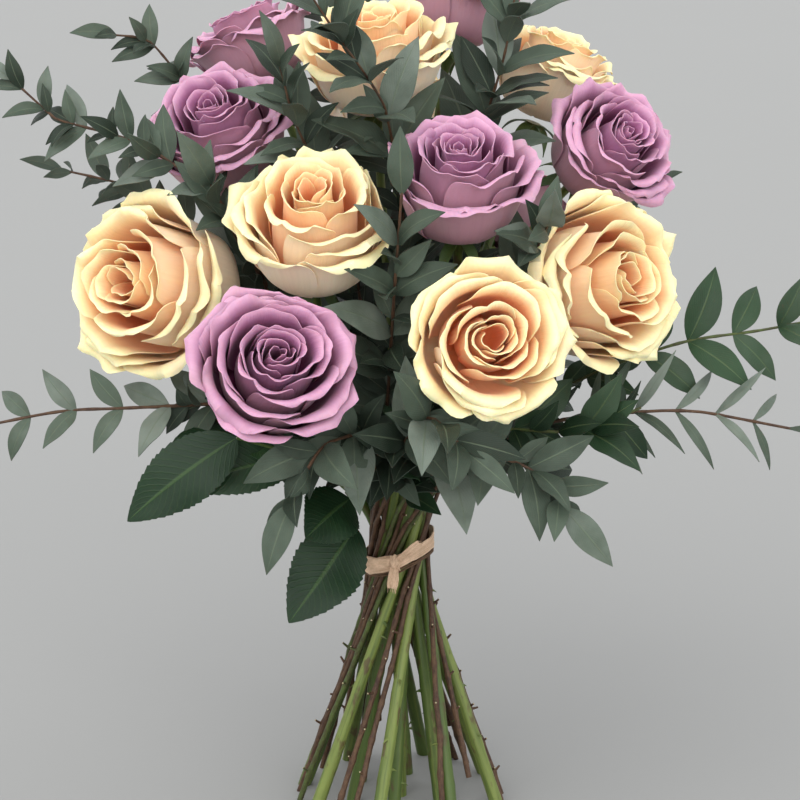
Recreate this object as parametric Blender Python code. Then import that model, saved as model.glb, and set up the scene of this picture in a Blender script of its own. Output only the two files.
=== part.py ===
"""A hand-tied rose bouquet that stands on its level-cut stem ends.

Fifteen roses and nineteen leafy branches are laid in a spiral through one narrow
waist, where a strip of raffia paper ties them. Units are metres, +Z is up, the
front of the bouquet looks along -Y and the origin is on the floor, under the tie.
"""
import math
from dataclasses import dataclass, field

import bpy
import numpy as np
from mathutils.bvhtree import BVHTree

# Rose stems, thick at the cut and slim at the neck
STEM_CUT_RADIUS = 0.0041
STEM_TIE_RADIUS = 0.0028
STEM_NECK_RADIUS = 0.0025
STEM_NECK_HEIGHT = 0.40
STEM_SIDES = 5
CALYX_RADIUS = 0.0052
CALYX_LENGTH = 0.009

# Woody twigs that carry the leaves
TWIG_CUT_RADIUS = 0.0017
TWIG_TIE_RADIUS = 0.0013
TWIG_TIP_RADIUS = 0.0009
TWIG_TIP_HEIGHT = 0.45
TWIG_SIDES = 4

# The bundle, described at level heights that all stems share
LEVEL_STEP = 0.026
TIE_LEVEL = 6
TIE_HEIGHT = TIE_LEVEL * LEVEL_STEP
INNER_RING = 0.0062
OUTER_RING = 0.0122
TWIG_RING = 0.0165
INNER_TWIST = 0.19
OUTER_TWIST = 0.37
STEM_BOW = 0.36
TWIG_BOW = 0.30
STEM_GAP = 0.0004
TIE_PULL = 0.004
PATH_TOLERANCE = 0.0003
BUNDLE_TOP = 0.26

# The raffia strip, its knot and its loose ends, measured from the front of the waist
TIE_WIDTH = 0.009
TIE_THICKNESS = 0.0010
TIE_SLOPE = 0.35
TIE_CORNERS = 16
KNOT_POINTS = [(0.0005, -0.0008, -0.0042), (0.0005, -0.0004, 0.0), (0.0005, 0.0, 0.0042)]
KNOT_RADII = [0.0018, 0.0032, 0.0020]
TAILS = [
    ((0.000, -0.0010, -0.001), (-0.0015, -0.0050, -0.0135), 0.0070),
    ((-0.001, -0.0010, 0.001), (-0.0150, -0.0035, 0.0005), 0.0065),
    ((0.001, -0.0010, 0.001), (0.0140, -0.0030, 0.0130), 0.0055),
]

# Petals
PETAL_THICKNESS = 0.0009
ROOT_THINNING = 0.35
BELLY_SWELL = 0.28
BLOOM_MIDDLE = 0.62
CROWD_REACH = 1.25
SQUASH_ZONE = 0.010
SQUASH_GAP = 0.0004
CORE = [(0.11, 0.0), (0.31, 0.15), (0.27, 0.40), (0.09, 0.84)]
CORE_SIDES = 5

# Leaves
LEAF_THICKNESS = 0.0008
LEAF_CLEARANCE = 0.0006
LEAF_FOLD = 0.12
LEAF_PITCH = 0.95
TIP_LEAF_PITCH = 0.12
LOWEST_LEAF = 0.11
STALK_RADIUS = 0.0009
ROSE_LEAF_FACING = (0.15, -0.85, 0.5)
ROSE_LEAF_DROOP = 0.05

SEAT_GAP = 0.0003
SLIVER_TRIM = 0.915
SMOOTH_ANGLE = math.radians(50)
FIRST_SEED = 40

PEACH = (0.93, 0.66, 0.42)
LAVENDER = (0.46, 0.27, 0.36)
STEM_GREEN = (0.13, 0.22, 0.05)
SILVER_GREEN = (0.10, 0.15, 0.12)
DARK_GREEN = (0.03, 0.075, 0.03)
RAFFIA = (0.60, 0.42, 0.28)


@dataclass
class Rose:
    """One rose: where the middle of its face is, which way it looks and how full its cup is."""

    name: str
    colour: tuple
    face: tuple
    azimuth: float
    tilt: float
    radius: float
    height: float
    ring: str
    fullness: float = 0.3
    axis: np.ndarray = field(init=False)
    base: np.ndarray = field(init=False)
    middle: np.ndarray = field(init=False)

    def __post_init__(self):
        turn = math.radians(self.azimuth)
        lean = math.radians(self.tilt)
        level = math.sin(lean)
        self.axis = np.array([level * math.cos(turn), level * math.sin(turn), math.cos(lean)])
        self.base = np.array(self.face) - self.axis * self.height
        self.middle = self.base + self.axis * BLOOM_MIDDLE * self.height


ROSES = [
    Rose("a", PEACH, (-0.154, -0.075, 0.334), -130, 72, 0.054, 0.082, "outer", 1.0),
    Rose("b", PEACH, (-0.045, -0.092, 0.393), -90, 29, 0.049, 0.072, "inner", 0.5),
    Rose("c", LAVENDER, (-0.059, -0.154, 0.320), -76, 52, 0.047, 0.062, "outer", 0.6),
    Rose("d", LAVENDER, (0.031, -0.075, 0.411), -90, 21, 0.047, 0.062, "inner", 0.3),
    Rose("e", PEACH, (0.050, -0.153, 0.325), -75, 70, 0.045, 0.058, "outer", 0.6),
    Rose("f", PEACH, (0.128, -0.077, 0.337), -50, 73, 0.052, 0.084, "outer", 1.0),
    Rose("g", LAVENDER, (0.129, -0.006, 0.404), -49, 50, 0.042, 0.058, "outer", 0.6),
    Rose("h", LAVENDER, (-0.107, 0.003, 0.419), -122, 31, 0.048, 0.062, "inner", 0.5),
    Rose("i", PEACH, (-0.015, 0.005, 0.466), -99, 14, 0.049, 0.062, "centre"),
    Rose("j", PEACH, (0.097, 0.088, 0.440), 0, 20, 0.043, 0.056, "inner"),
    Rose("k", LAVENDER, (0.036, 0.082, 0.482), 40, 12, 0.042, 0.052, "inner"),
    Rose("l", LAVENDER, (-0.095, 0.098, 0.453), 160, 26, 0.043, 0.052, "inner"),
    Rose("m", LAVENDER, (-0.078, 0.133, 0.335), 120, 60, 0.045, 0.052, "outer"),
    Rose("n", PEACH, (-0.002, 0.152, 0.392), 90, 50, 0.046, 0.054, "outer"),
    Rose("o", LAVENDER, (0.076, 0.138, 0.335), 60, 60, 0.044, 0.052, "outer"),
]


@dataclass
class Layer:
    """One ring of petals: their profile from root to rim, in shares of the rose's size."""

    count: int
    profile: list
    half_width: float
    turn: float
    rows: int
    columns: int


LAYERS = [
    Layer(5, [(0.10, 0.08), (0.78, 0.02), (0.58, 0.68), (1.00, 0.78)], 0.62, 0.0, 4, 3),
    Layer(3, [(0.08, 0.10), (0.70, 0.08), (0.50, 0.74), (0.73, 0.92)], 0.96, 0.4, 3, 4),
    Layer(2, [(0.06, 0.20), (0.44, 0.20), (0.32, 0.82), (0.34, 1.00)], 1.35, 1.2, 3, 4),
]


@dataclass
class LeafKind:
    """Length, width, spacing and bend of the leaves on a branch."""

    length: float
    width: float
    spacing: float
    droop: float
    colour: tuple


SILVER = LeafKind(0.034, 0.0130, 0.0230, 0.10, SILVER_GREEN)
BROAD = LeafKind(0.050, 0.0200, 0.0250, 0.10, SILVER_GREEN)
NARROW = LeafKind(0.042, 0.0064, 0.0200, 0.10, SILVER_GREEN)
DARK = LeafKind(0.044, 0.0190, 0.0250, 0.10, DARK_GREEN)
FRONT = (0.0, -0.85, 0.50)
BACK = (0.0, 0.85, 0.50)
UPWARD = (0.0, -0.50, 0.85)


@dataclass
class Branch:
    """One leafy branch: its leaves, where they face, and the route of its upper part.

    A branch that was cut short ends at foot_level, above the floor.
    """

    name: str
    kind: LeafKind
    facing: tuple
    route: list
    foot_level: int = 0


BRANCHES = [
    Branch("left_upper", SILVER, FRONT,
           [(-0.081, -0.030, 0.334), (-0.101, -0.035, 0.372), (-0.145, -0.035, 0.401),
            (-0.180, -0.035, 0.411), (-0.207, -0.030, 0.433)]),
    Branch("left_lower", SILVER, FRONT,
           [(-0.103, -0.060, 0.261), (-0.142, -0.070, 0.262), (-0.182, -0.070, 0.260), (-0.223, -0.070, 0.252)]),
    Branch("right_lower", NARROW, FRONT,
           [(0.108, -0.060, 0.255), (0.157, -0.060, 0.257), (0.213, -0.050, 0.244)]),
    Branch("right_upper", DARK, FRONT,
           [(0.137, -0.035, 0.283), (0.160, -0.035, 0.290), (0.197, -0.030, 0.294), (0.232, -0.030, 0.301)]),
    Branch("centre", BROAD, FRONT,
           [(-0.006, -0.070, 0.275), (-0.003, -0.096, 0.332), (0.001, -0.097, 0.386)]),
    Branch("low_left", BROAD, FRONT,
           [(-0.024, -0.098, 0.256), (-0.041, -0.130, 0.258), (-0.056, -0.145, 0.233)], 1),
    Branch("low_centre", BROAD, FRONT,
           [(0.004, -0.110, 0.258), (0.016, -0.140, 0.278), (0.034, -0.154, 0.264)]),
    Branch("low_right", BROAD, FRONT,
           [(0.024, -0.100, 0.248), (0.046, -0.125, 0.254), (0.072, -0.135, 0.246), (0.085, -0.140, 0.229)], 1),
    Branch("right_dark", DARK, FRONT,
           [(0.064, -0.080, 0.253), (0.096, -0.085, 0.254), (0.129, -0.070, 0.262)]),
    Branch("top_centre", BROAD, UPWARD,
           [(-0.003, -0.024, 0.392), (-0.010, -0.044, 0.424), (-0.029, -0.058, 0.455), (-0.045, -0.062, 0.480)]),
    Branch("top_right", BROAD, UPWARD,
           [(0.046, 0.010, 0.403), (0.056, 0.000, 0.438), (0.063, 0.000, 0.480)]),
    Branch("far_left", SILVER, FRONT,
           [(-0.122, 0.068, 0.412), (-0.142, 0.066, 0.437), (-0.162, 0.062, 0.442)]),
    Branch("gap_left", BROAD, FRONT,
           [(-0.055, -0.020, 0.290), (-0.088, -0.030, 0.345), (-0.101, -0.048, 0.380)], 1),
    Branch("gap_right", BROAD, FRONT,
           [(0.042, -0.037, 0.290), (0.070, -0.066, 0.345), (0.076, -0.094, 0.368)], 1),
    Branch("gap_top", BROAD, UPWARD,
           [(-0.035, -0.010, 0.360), (-0.055, -0.024, 0.405), (-0.064, -0.028, 0.440)]),
    Branch("back_left", SILVER, BACK,
           [(-0.110, 0.045, 0.325), (-0.155, 0.055, 0.355), (-0.195, 0.060, 0.365)]),
    Branch("back_right", SILVER, BACK,
           [(0.095, 0.070, 0.312), (0.128, 0.092, 0.335), (0.152, 0.108, 0.345)]),
    Branch("back_low", BROAD, BACK,
           [(0.000, 0.095, 0.275), (-0.002, 0.135, 0.300), (-0.004, 0.170, 0.298)]),
    Branch("back_top", BROAD, BACK,
           [(-0.020, 0.060, 0.380), (-0.034, 0.098, 0.430), (-0.040, 0.125, 0.462)], 1),
]


@dataclass
class RoseLeaf:
    """A leaf on a rose stem: where its stalk starts and goes, and its leaflets."""

    stem: str
    height: float
    stalk: list
    leaflets: list


ROSE_LEAVES = [
    RoseLeaf("c", 0.215, [(-0.052, -0.086, 0.240), (-0.086, -0.098, 0.254)],
             [((-0.052, -0.086, 0.240), (-0.118, -0.105, 0.228), 0.030),
              ((-0.086, -0.098, 0.254), (-0.144, -0.105, 0.210), 0.036)]),
    RoseLeaf("c", 0.190, [(-0.030, -0.024, 0.198), (-0.028, -0.040, 0.200), (-0.025, -0.042, 0.184)],
             [((-0.028, -0.040, 0.200), (-0.051, -0.082, 0.192), 0.036),
              ((-0.025, -0.042, 0.184), (-0.061, -0.075, 0.140), 0.041)]),
]


def unit(vector):
    """The vector at length one."""
    return vector / np.linalg.norm(vector)


def bezier(points, amount):
    """Points of a cubic Bezier curve at each amount from 0 to 1."""
    amount = np.asarray(amount)[:, None]
    rest = 1 - amount
    p0, p1, p2, p3 = [np.asarray(point, float) for point in points]
    return rest**3 * p0 + 3 * rest**2 * amount * p1 + 3 * rest * amount**2 * p2 + amount**3 * p3


def spline(points, per_span):
    """A smooth curve through the points, with so many steps for each span."""
    points = np.asarray(points, float)
    ends = np.vstack([2 * points[0] - points[1], points, 2 * points[-1] - points[-2]])
    curve = []
    for index in range(len(points) - 1):
        before, start, end, after = ends[index:index + 4]
        handles = (start, start + (end - before) / 6, end - (after - start) / 6, end)
        curve.extend(bezier(handles, np.arange(per_span) / per_span))
    return np.vstack([curve, points[-1]])


def point_at(place, travelled, route):
    """The point of a route at one distance along it."""
    return np.array([np.interp(place, travelled, route[:, side]) for side in range(3)])


def bundle_stem(turn, ring_radius, twist, target, arrival, bow):
    """The first guess of a stem: a straight ruling below the tie, a bow above it."""
    waist = np.array([ring_radius * math.cos(turn), ring_radius * math.sin(turn), TIE_HEIGHT])
    slope = np.array([-math.sin(turn) * twist, math.cos(turn) * twist, 1.0])
    foot = waist - slope * TIE_HEIGHT
    distance = np.linalg.norm(target - waist)
    handles = (waist, waist + unit(slope) * distance * STEM_BOW, target - arrival * distance * bow, target)
    return foot, bezier(handles, np.linspace(0, 1, 41))


def at_levels(foot, upper, top_margin):
    """Where the stem crosses each level, from the floor to a margin below its upper end."""
    top_level = int((upper[-1, 2] - top_margin) / LEVEL_STEP)
    levels = np.arange(top_level + 1) * LEVEL_STEP
    below = levels < TIE_HEIGHT
    share = levels / TIE_HEIGHT
    places = np.empty((len(levels), 2))
    for side in range(2):
        rising = np.interp(levels, upper[:, 2], upper[:, side])
        straight = foot[side] + (upper[0, side] - foot[side]) * share
        places[:, side] = np.where(below, straight, rising)
    return places


def crossings(start, end):
    """How near and where each pair of straight stretches passes, from stem i to stem j."""
    offset = start[None, :] - start[:, None]
    change = (end - start)[None, :] - (end - start)[:, None]
    size = np.maximum((change**2).sum(-1), 1e-12)
    share = np.clip(-(offset * change).sum(-1) / size, 0, 1)
    nearest = offset + change * share[..., None]
    slope = ((end - start)[None, :] + (end - start)[:, None]) / (2 * LEVEL_STEP)
    length = np.maximum(np.linalg.norm(nearest, axis=-1), 1e-6)
    skew = nearest[..., 0] * slope[..., 1] - nearest[..., 1] * slope[..., 0]
    distance = np.sqrt((length**2 + skew**2) / (1 + (slope**2).sum(-1)))
    return nearest / length[..., None], distance, share


def settle(places, radii, rounds=500):
    """Pushes stems apart, level by level, while the tie draws them in."""
    count = max(len(place) for place in places)
    start = np.full((len(places), count, 2), np.nan)
    radius = np.zeros((len(places), count))
    for index, place in enumerate(places):
        start[index, :len(place)] = place
        radius[index, :len(place)] = radii[index]
    active = ~np.isnan(start[..., 0])
    start = np.nan_to_num(start)
    both = (active[:, None, :-1] & active[:, None, 1:]) & (active[None, :, :-1] & active[None, :, 1:])
    both[np.arange(len(places)), np.arange(len(places))] = False
    inner = active.copy()
    inner[:, :-1] &= active[:, 1:]
    inner[:, -1] = False
    place = start.copy()
    for turn in range(rounds):
        along, distance, share = crossings(place[:, :-1], place[:, 1:])
        need_start = radius[:, None, :-1] + radius[None, :, :-1]
        need_end = radius[:, None, 1:] + radius[None, :, 1:]
        need = need_start * (1 - share) + need_end * share + STEM_GAP
        lack = np.where(both, np.maximum(need - distance, 0), 0)
        push = along * (lack * 0.5)[..., None]
        move = np.zeros_like(place)
        move[:, :-1] -= (push * (1 - share)[..., None]).sum(1)
        move[:, 1:] -= (push * share[..., None]).sum(1)
        shift = place + move - start
        if turn < rounds * 0.6:
            shift[:, 1:-1] += 0.25 * (shift[:, :-2] + shift[:, 2:] - 2 * shift[:, 1:-1]) * inner[:, 1:-1, None]
            shift[:, TIE_LEVEL] -= TIE_PULL * place[:, TIE_LEVEL]
        place = start + shift * inner[..., None]
    return [place[index, :len(item)] for index, item in enumerate(places)]


def share_out(turns):
    """Even places round a ring, in the order of the wished ones and nearest to them."""
    order = np.argsort(turns)
    even = np.arange(len(turns)) * 2 * math.pi / len(turns)
    wished = np.asarray(turns)[order]
    placed = np.empty(len(turns))
    placed[order] = even + (wished - even).mean()
    return placed


def stem_radius(height, cut, tie, top, top_height):
    """The radius of a stem at each height."""
    return np.interp(height, [0, TIE_HEIGHT, top_height], [cut, tie, top])


def plan_stems():
    """The path of every stem, from its cut end to its bloom or its outermost leaf."""
    names, targets, arrivals, tails, rings = [], [], [], [], []
    for rose in ROSES:
        names.append(rose.name)
        targets.append(rose.base - rose.axis * CALYX_LENGTH)
        arrivals.append(rose.axis)
        tails.append(np.array([rose.base]))
        rings.append(rose.ring)
    for branch in BRANCHES:
        route = spline(branch.route, 4)
        names.append(branch.name)
        targets.append(route[0])
        arrivals.append(unit(route[1] - route[0]))
        tails.append(route[1:])
        rings.append("twig")
    sizes = {"centre": (0.0, 0.0), "inner": (INNER_RING, INNER_TWIST), "outer": (OUTER_RING, OUTER_TWIST),
             "twig": (TWIG_RING, OUTER_TWIST)}
    wishes = []
    for target, ring in zip(targets, rings):
        lead = math.acos(min(sizes[ring][0] / math.hypot(target[0], target[1]), 1))
        wishes.append((math.atan2(target[1], target[0]) - lead) % (2 * math.pi))
    turns = np.array(wishes)
    for ring in ("inner", "outer"):
        members = [index for index, item in enumerate(rings) if item == ring]
        turns[members] = share_out(turns[members])
    places, radii, uppers = [], [], []
    for index, ring in enumerate(rings):
        ring_radius, twist = sizes[ring]
        bow = TWIG_BOW if ring == "twig" else STEM_BOW
        foot, upper = bundle_stem(turns[index], ring_radius, twist, targets[index], arrivals[index], bow)
        places.append(at_levels(foot, upper, 0.02))
        uppers.append(upper)
        heights = np.arange(len(places[-1])) * LEVEL_STEP
        if ring == "twig":
            taper = (TWIG_CUT_RADIUS, TWIG_TIE_RADIUS, TWIG_TIP_RADIUS, TWIG_TIP_HEIGHT)
        else:
            taper = (STEM_CUT_RADIUS, STEM_TIE_RADIUS, STEM_NECK_RADIUS, STEM_NECK_HEIGHT)
        radii.append(stem_radius(heights, *taper))
    settled = settle(places, radii)
    paths = {}
    feet = [0] * len(ROSES) + [branch.foot_level for branch in BRANCHES]
    for name, place, upper, tail, foot_level in zip(names, settled, uppers, tails, feet):
        heights = np.arange(len(place)) * LEVEL_STEP
        bundle = np.column_stack([place, heights])[foot_level:]
        rest = upper[upper[:, 2] > heights[-1] + 0.004]
        paths[name] = np.vstack([bundle, rest, tail])
    return paths


def thin_out(points, tolerance):
    """Keeps only the points that a straight line between their neighbours would miss."""
    if len(points) < 3:
        return points
    line = points[-1] - points[0]
    offset = points - points[0]
    along = np.clip(offset @ line / (line @ line), 0, 1)
    miss = np.linalg.norm(offset - along[:, None] * line, axis=1)
    far = int(miss.argmax())
    if miss[far] < tolerance:
        return points[[0, -1]]
    return np.vstack([thin_out(points[:far + 1], tolerance)[:-1], thin_out(points[far:], tolerance)])


def few_points(path):
    """The path with only the points that its bends need, more loosely above the bundle."""
    low = int((path[:, 2] < BUNDLE_TOP).sum())
    return np.vstack([thin_out(path[:low], PATH_TOLERANCE)[:-1], thin_out(path[low - 1:], 3 * PATH_TOLERANCE)])


def tube(points, radii, sides):
    """Rings of points round a path, level at a foot that stands on the floor."""
    tangents = np.gradient(points, axis=0)
    tangents /= np.linalg.norm(tangents, axis=1)[:, None]
    if points[0, 2] < 1e-9:
        tangents[0] = (0, 0, 1)
    side = unit(np.cross(tangents[0], (0.3, 0.95, 0.1)))
    turns = np.arange(sides) * 2 * math.pi / sides
    rings = []
    for point, tangent, radius in zip(points, tangents, radii):
        side = unit(side - tangent * (side @ tangent))
        other = np.cross(tangent, side)
        rings.append(point + radius * (np.cos(turns)[:, None] * side + np.sin(turns)[:, None] * other))
    faces = [tuple(range(sides))[::-1]]
    for ring in range(len(rings) - 1):
        for index in range(sides):
            after = (index + 1) % sides
            low, high = ring * sides, (ring + 1) * sides
            faces.append((low + index, low + after, high + after, high + index))
    faces.append(tuple((len(rings) - 1) * sides + index for index in range(sides)))
    return np.vstack(rings), faces


def stem_piece(points, cut, tie, top, sides, calyx=False):
    """One stem as a tube along its path, with a calyx at its upper end for a rose."""
    radii = stem_radius(points[:, 2], cut, tie, top, points[-1, 2])
    if calyx:
        axis = unit(points[-1] - points[-2])
        seat = points[-1] - axis * SEAT_GAP
        points = np.vstack([points[:-1], seat - axis * CALYX_LENGTH * 0.45, seat])
        radii = np.concatenate([radii[:-1], [0.8 * CALYX_RADIUS, CALYX_RADIUS]])
    return tube(points, radii, sides)


def sheet(rows):
    """Triangles between rows of points, each row one point or all of one length."""
    starts = np.cumsum([0] + [len(row) for row in rows])
    triangles = []
    for index in range(len(rows) - 1):
        low, high = starts[index], starts[index + 1]
        first, second = len(rows[index]), len(rows[index + 1])
        for step in range(max(first, second) - 1):
            if first == 1:
                triangles.append((low, high + step + 1, high + step))
            elif second == 1:
                triangles.append((low + step, low + step + 1, high))
            else:
                triangles.append((low + step, low + step + 1, high + step + 1))
                triangles.append((low + step, high + step + 1, high + step))
    return np.vstack(rows), triangles


def thicken(points, triangles, thickness):
    """A closed blade of one thickness on both sides of a sheet of triangles."""
    triangles = np.asarray(triangles)
    corners = points[triangles]
    faces = np.cross(corners[:, 1] - corners[:, 0], corners[:, 2] - corners[:, 0])
    normals = np.zeros_like(points)
    for corner in range(3):
        np.add.at(normals, triangles[:, corner], faces)
    normals /= np.linalg.norm(normals, axis=1)[:, None]
    normals[0] *= ROOT_THINNING
    count = len(points)
    solid = [tuple(triangle) for triangle in triangles]
    solid += [tuple(triangle[::-1] + count) for triangle in triangles]
    edges = [(int(a), int(b)) for triangle in triangles for a, b in zip(triangle, np.roll(triangle, -1))]
    known = set(edges)
    for a, b in edges:
        if (b, a) not in known:
            solid += [(b, a, a + count), (b, a + count, b + count)]
    return np.vstack([points + normals * thickness / 2, points - normals * thickness / 2]), solid


def petal_rows(rose, layer, turn, lift, wave):
    """The points of one petal: a cup-shaped sheet wrapped round the rose's axis."""
    side = unit(np.cross(rose.axis, (0.1, 0.2, 1.0)))
    other = np.cross(rose.axis, side)
    (foot, foot_height), (belly, belly_height), lip, rim = layer.profile
    shape = [(foot, foot_height), (belly * (1 + BELLY_SWELL * rose.fullness), belly_height), lip, rim]
    rows = []
    for amount in np.linspace(0, 1, layer.rows):
        across = np.linspace(-1, 1, layer.columns) if amount else np.zeros(1)
        reach = amount * (1 - 0.16 * across**2 * amount)
        profile = bezier(shape, reach)
        out = profile[:, 0] * rose.radius * (1 + 0.07 * across * amount)
        high = (profile[:, 1] + lift * amount) * rose.height
        high = high + wave * rose.height * np.cos(across * 7) * amount**2
        half = layer.half_width * (0.35 + 0.65 * math.sin(math.pi * min(amount * 0.62 + 0.12, 1)))
        angle = turn + across * half
        ring = np.cos(angle)[:, None] * side + np.sin(angle)[:, None] * other
        rows.append(rose.base + high[:, None] * rose.axis + out[:, None] * ring)
    return rows


def press_apart(points, rose):
    """Flattens a bloom against the blooms round it, so that each keeps its own side."""
    points = points.copy()
    for _ in range(2):
        for other in ROSES:
            between = other.middle - rose.middle
            distance = np.linalg.norm(between)
            if other is rose or distance > CROWD_REACH * (rose.radius + other.radius):
                continue
            toward = between / distance
            border = distance * rose.radius / (rose.radius + other.radius) - SQUASH_GAP
            reach = (points - rose.middle) @ toward - (border - SQUASH_ZONE)
            squeezed = SQUASH_ZONE * (1 - np.exp(-np.maximum(reach, 0) / SQUASH_ZONE))
            points -= np.maximum(reach - squeezed, 0)[:, None] * toward
    return points


def bloom_pieces(rose, seed):
    """The core and the petals of one bloom, as points and faces."""
    random = np.random.default_rng(seed)
    levels = np.array([rose.base + rose.axis * (rose.height * high + SEAT_GAP) for _, high in CORE])
    solid, faces = tube(levels, np.array([out for out, _ in CORE]) * rose.radius, CORE_SIDES)
    pieces = [(press_apart(solid, rose), faces)]
    whole = random.uniform(0, 2 * math.pi)
    for layer in LAYERS:
        for index in range(layer.count):
            turn = whole + layer.turn + index * 2 * math.pi / layer.count + random.uniform(-0.06, 0.06)
            rows = petal_rows(rose, layer, turn, random.uniform(-0.05, 0.03), random.uniform(-0.03, 0.03))
            points, triangles = sheet(rows)
            pieces.append(thicken(press_apart(points, rose), triangles, PETAL_THICKNESS))
    return pieces


def leaf_sheet(root, tip, normal, width, droop, rows, folded=True):
    """A pointed blade from its root to its tip, folded a little along its midrib."""
    along = tip - root
    length = np.linalg.norm(along)
    side = unit(np.cross(normal, along))
    lift = unit(np.cross(along, side))
    sheet_rows = []
    for amount in np.linspace(0, 1, rows):
        middle = root + along * amount + lift * length * droop * 4 * amount * (1 - amount)
        half = width / 2 * math.sin(math.pi * amount**0.8)
        if amount in (0, 1):
            sheet_rows.append(middle[None])
        else:
            edge = lift * half * LEAF_FOLD * 2
            across = [middle - side * half + edge, middle, middle + side * half + edge]
            sheet_rows.append(np.array(across if folded else across[::2]))
    return sheet(sheet_rows)


def rose_leaf_pieces(leaf, paths):
    """The stalk and leaflets of one rose leaf, rooted in its stem."""
    path = paths[leaf.stem]
    root = point_at(leaf.height, path[:, 2], path)
    stalk = np.vstack([root, leaf.stalk])
    pieces = [tube(stalk, np.full(len(stalk), STALK_RADIUS), TWIG_SIDES)]
    for start, tip, width in leaf.leaflets:
        start, tip = np.array(start), np.array(tip)
        start = start - unit(tip - start) * STALK_RADIUS / 3
        points, triangles = leaf_sheet(start, tip, ROSE_LEAF_FACING, width, ROSE_LEAF_DROOP, 5)
        pieces.append(thicken(points, triangles, LEAF_THICKNESS))
    return pieces


def solid_tree(pieces):
    """A search tree over all the faces of some pieces."""
    points, faces = [], []
    for piece_points, piece_faces in pieces:
        shift = len(points)
        points.extend(tuple(point) for point in piece_points)
        faces.extend(tuple(int(i) + shift for i in face) for face in piece_faces)
    return BVHTree.FromPolygons(points, faces)


def is_clear(points, triangles, obstacles, own_blades):
    """Whether a leaf keeps its distance from all that is near it, and its blade's own tree."""
    wide = solid_tree([thicken(points, triangles, LEAF_THICKNESS + 2 * LEAF_CLEARANCE)])
    beyond_root = [tuple(i - 1 for i in triangle) for triangle in triangles if 0 not in triangle]
    blade = solid_tree([thicken(points[1:], beyond_root, LEAF_THICKNESS)])
    near = any(wide.overlap(tree) for tree in obstacles) or any(blade.overlap(tree) for tree in own_blades)
    return not near, blade


def leaves_of(branch, points, obstacles, seed):
    """Pairs of leaves along a branch, each turned until it is clear of what is near."""
    random = np.random.default_rng(seed)
    kind = branch.kind
    first = int(np.linalg.norm(points - np.array(branch.route[0]), axis=1).argmin())
    route = points[first:]
    travelled = np.concatenate([[0], np.cumsum(np.linalg.norm(np.diff(route, axis=0), axis=1))])
    count = max(int(travelled[-1] / kind.spacing), 2)
    pieces, own_blades = [], []
    for node in range(count + 1):
        place = travelled[-1] * node / count
        point = point_at(place, travelled, route)
        tangent = unit(point_at(place + 0.004, travelled, route) - point_at(place - 0.004, travelled, route))
        level = unit(np.cross(branch.facing, tangent))
        rise = np.cross(tangent, level)
        turn = random.uniform(-0.3, 0.3) + (0.35 if node % 2 else -0.35)
        size = (1 - 0.30 * node / count) * random.uniform(0.88, 1.12)
        last = node == count
        for start_turn in ([turn] if last else [turn, math.pi - turn]):
            for change in (0, 0.5, -0.5, 1.0, -1.0, 1.5, -1.5):
                angle = start_turn + change
                pitch = TIP_LEAF_PITCH if last else LEAF_PITCH
                outward = level * math.cos(angle) + rise * math.sin(angle)
                along = tangent * math.cos(pitch) + outward * math.sin(pitch)
                normal = np.array(branch.facing) + 0.35 * tangent
                tip = point + along * kind.length * size
                root = point + along * TWIG_TIP_RADIUS * (-1.5 if last else 0.3)
                blade_points, triangles = leaf_sheet(root, tip, normal, kind.width * size, kind.droop, 4, False)
                clear, blade = is_clear(blade_points, triangles, obstacles, own_blades)
                if clear and tip[2] > LOWEST_LEAF:
                    own_blades.append(blade)
                    pieces.append(thicken(blade_points, triangles, LEAF_THICKNESS))
                    break
    return pieces


def waist_outline(paths):
    """The corners of the outline that the tie follows, drawn tight round the stems."""
    turns = np.arange(TIE_CORNERS) * 2 * math.pi / TIE_CORNERS
    directions = np.column_stack([np.cos(turns), np.sin(turns)])
    slant = math.hypot(1, OUTER_TWIST)
    reach = np.zeros(TIE_CORNERS)
    for name, path in paths.items():
        thick = STEM_TIE_RADIUS if len(name) == 1 else TWIG_TIE_RADIUS
        for height in TIE_HEIGHT + np.linspace(-1.4, 1.4, 7) * TIE_WIDTH:
            place = point_at(height, path[:, 2], path)[:2]
            reach = np.maximum(reach, directions @ place + thick * slant + SEAT_GAP)
    corners = []
    for index in range(TIE_CORNERS):
        after = (index + 1) % TIE_CORNERS
        pair = np.array([directions[index], directions[after]])
        corners.append(np.linalg.solve(pair, [reach[index], reach[after]]))
    return np.array(corners)


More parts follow.
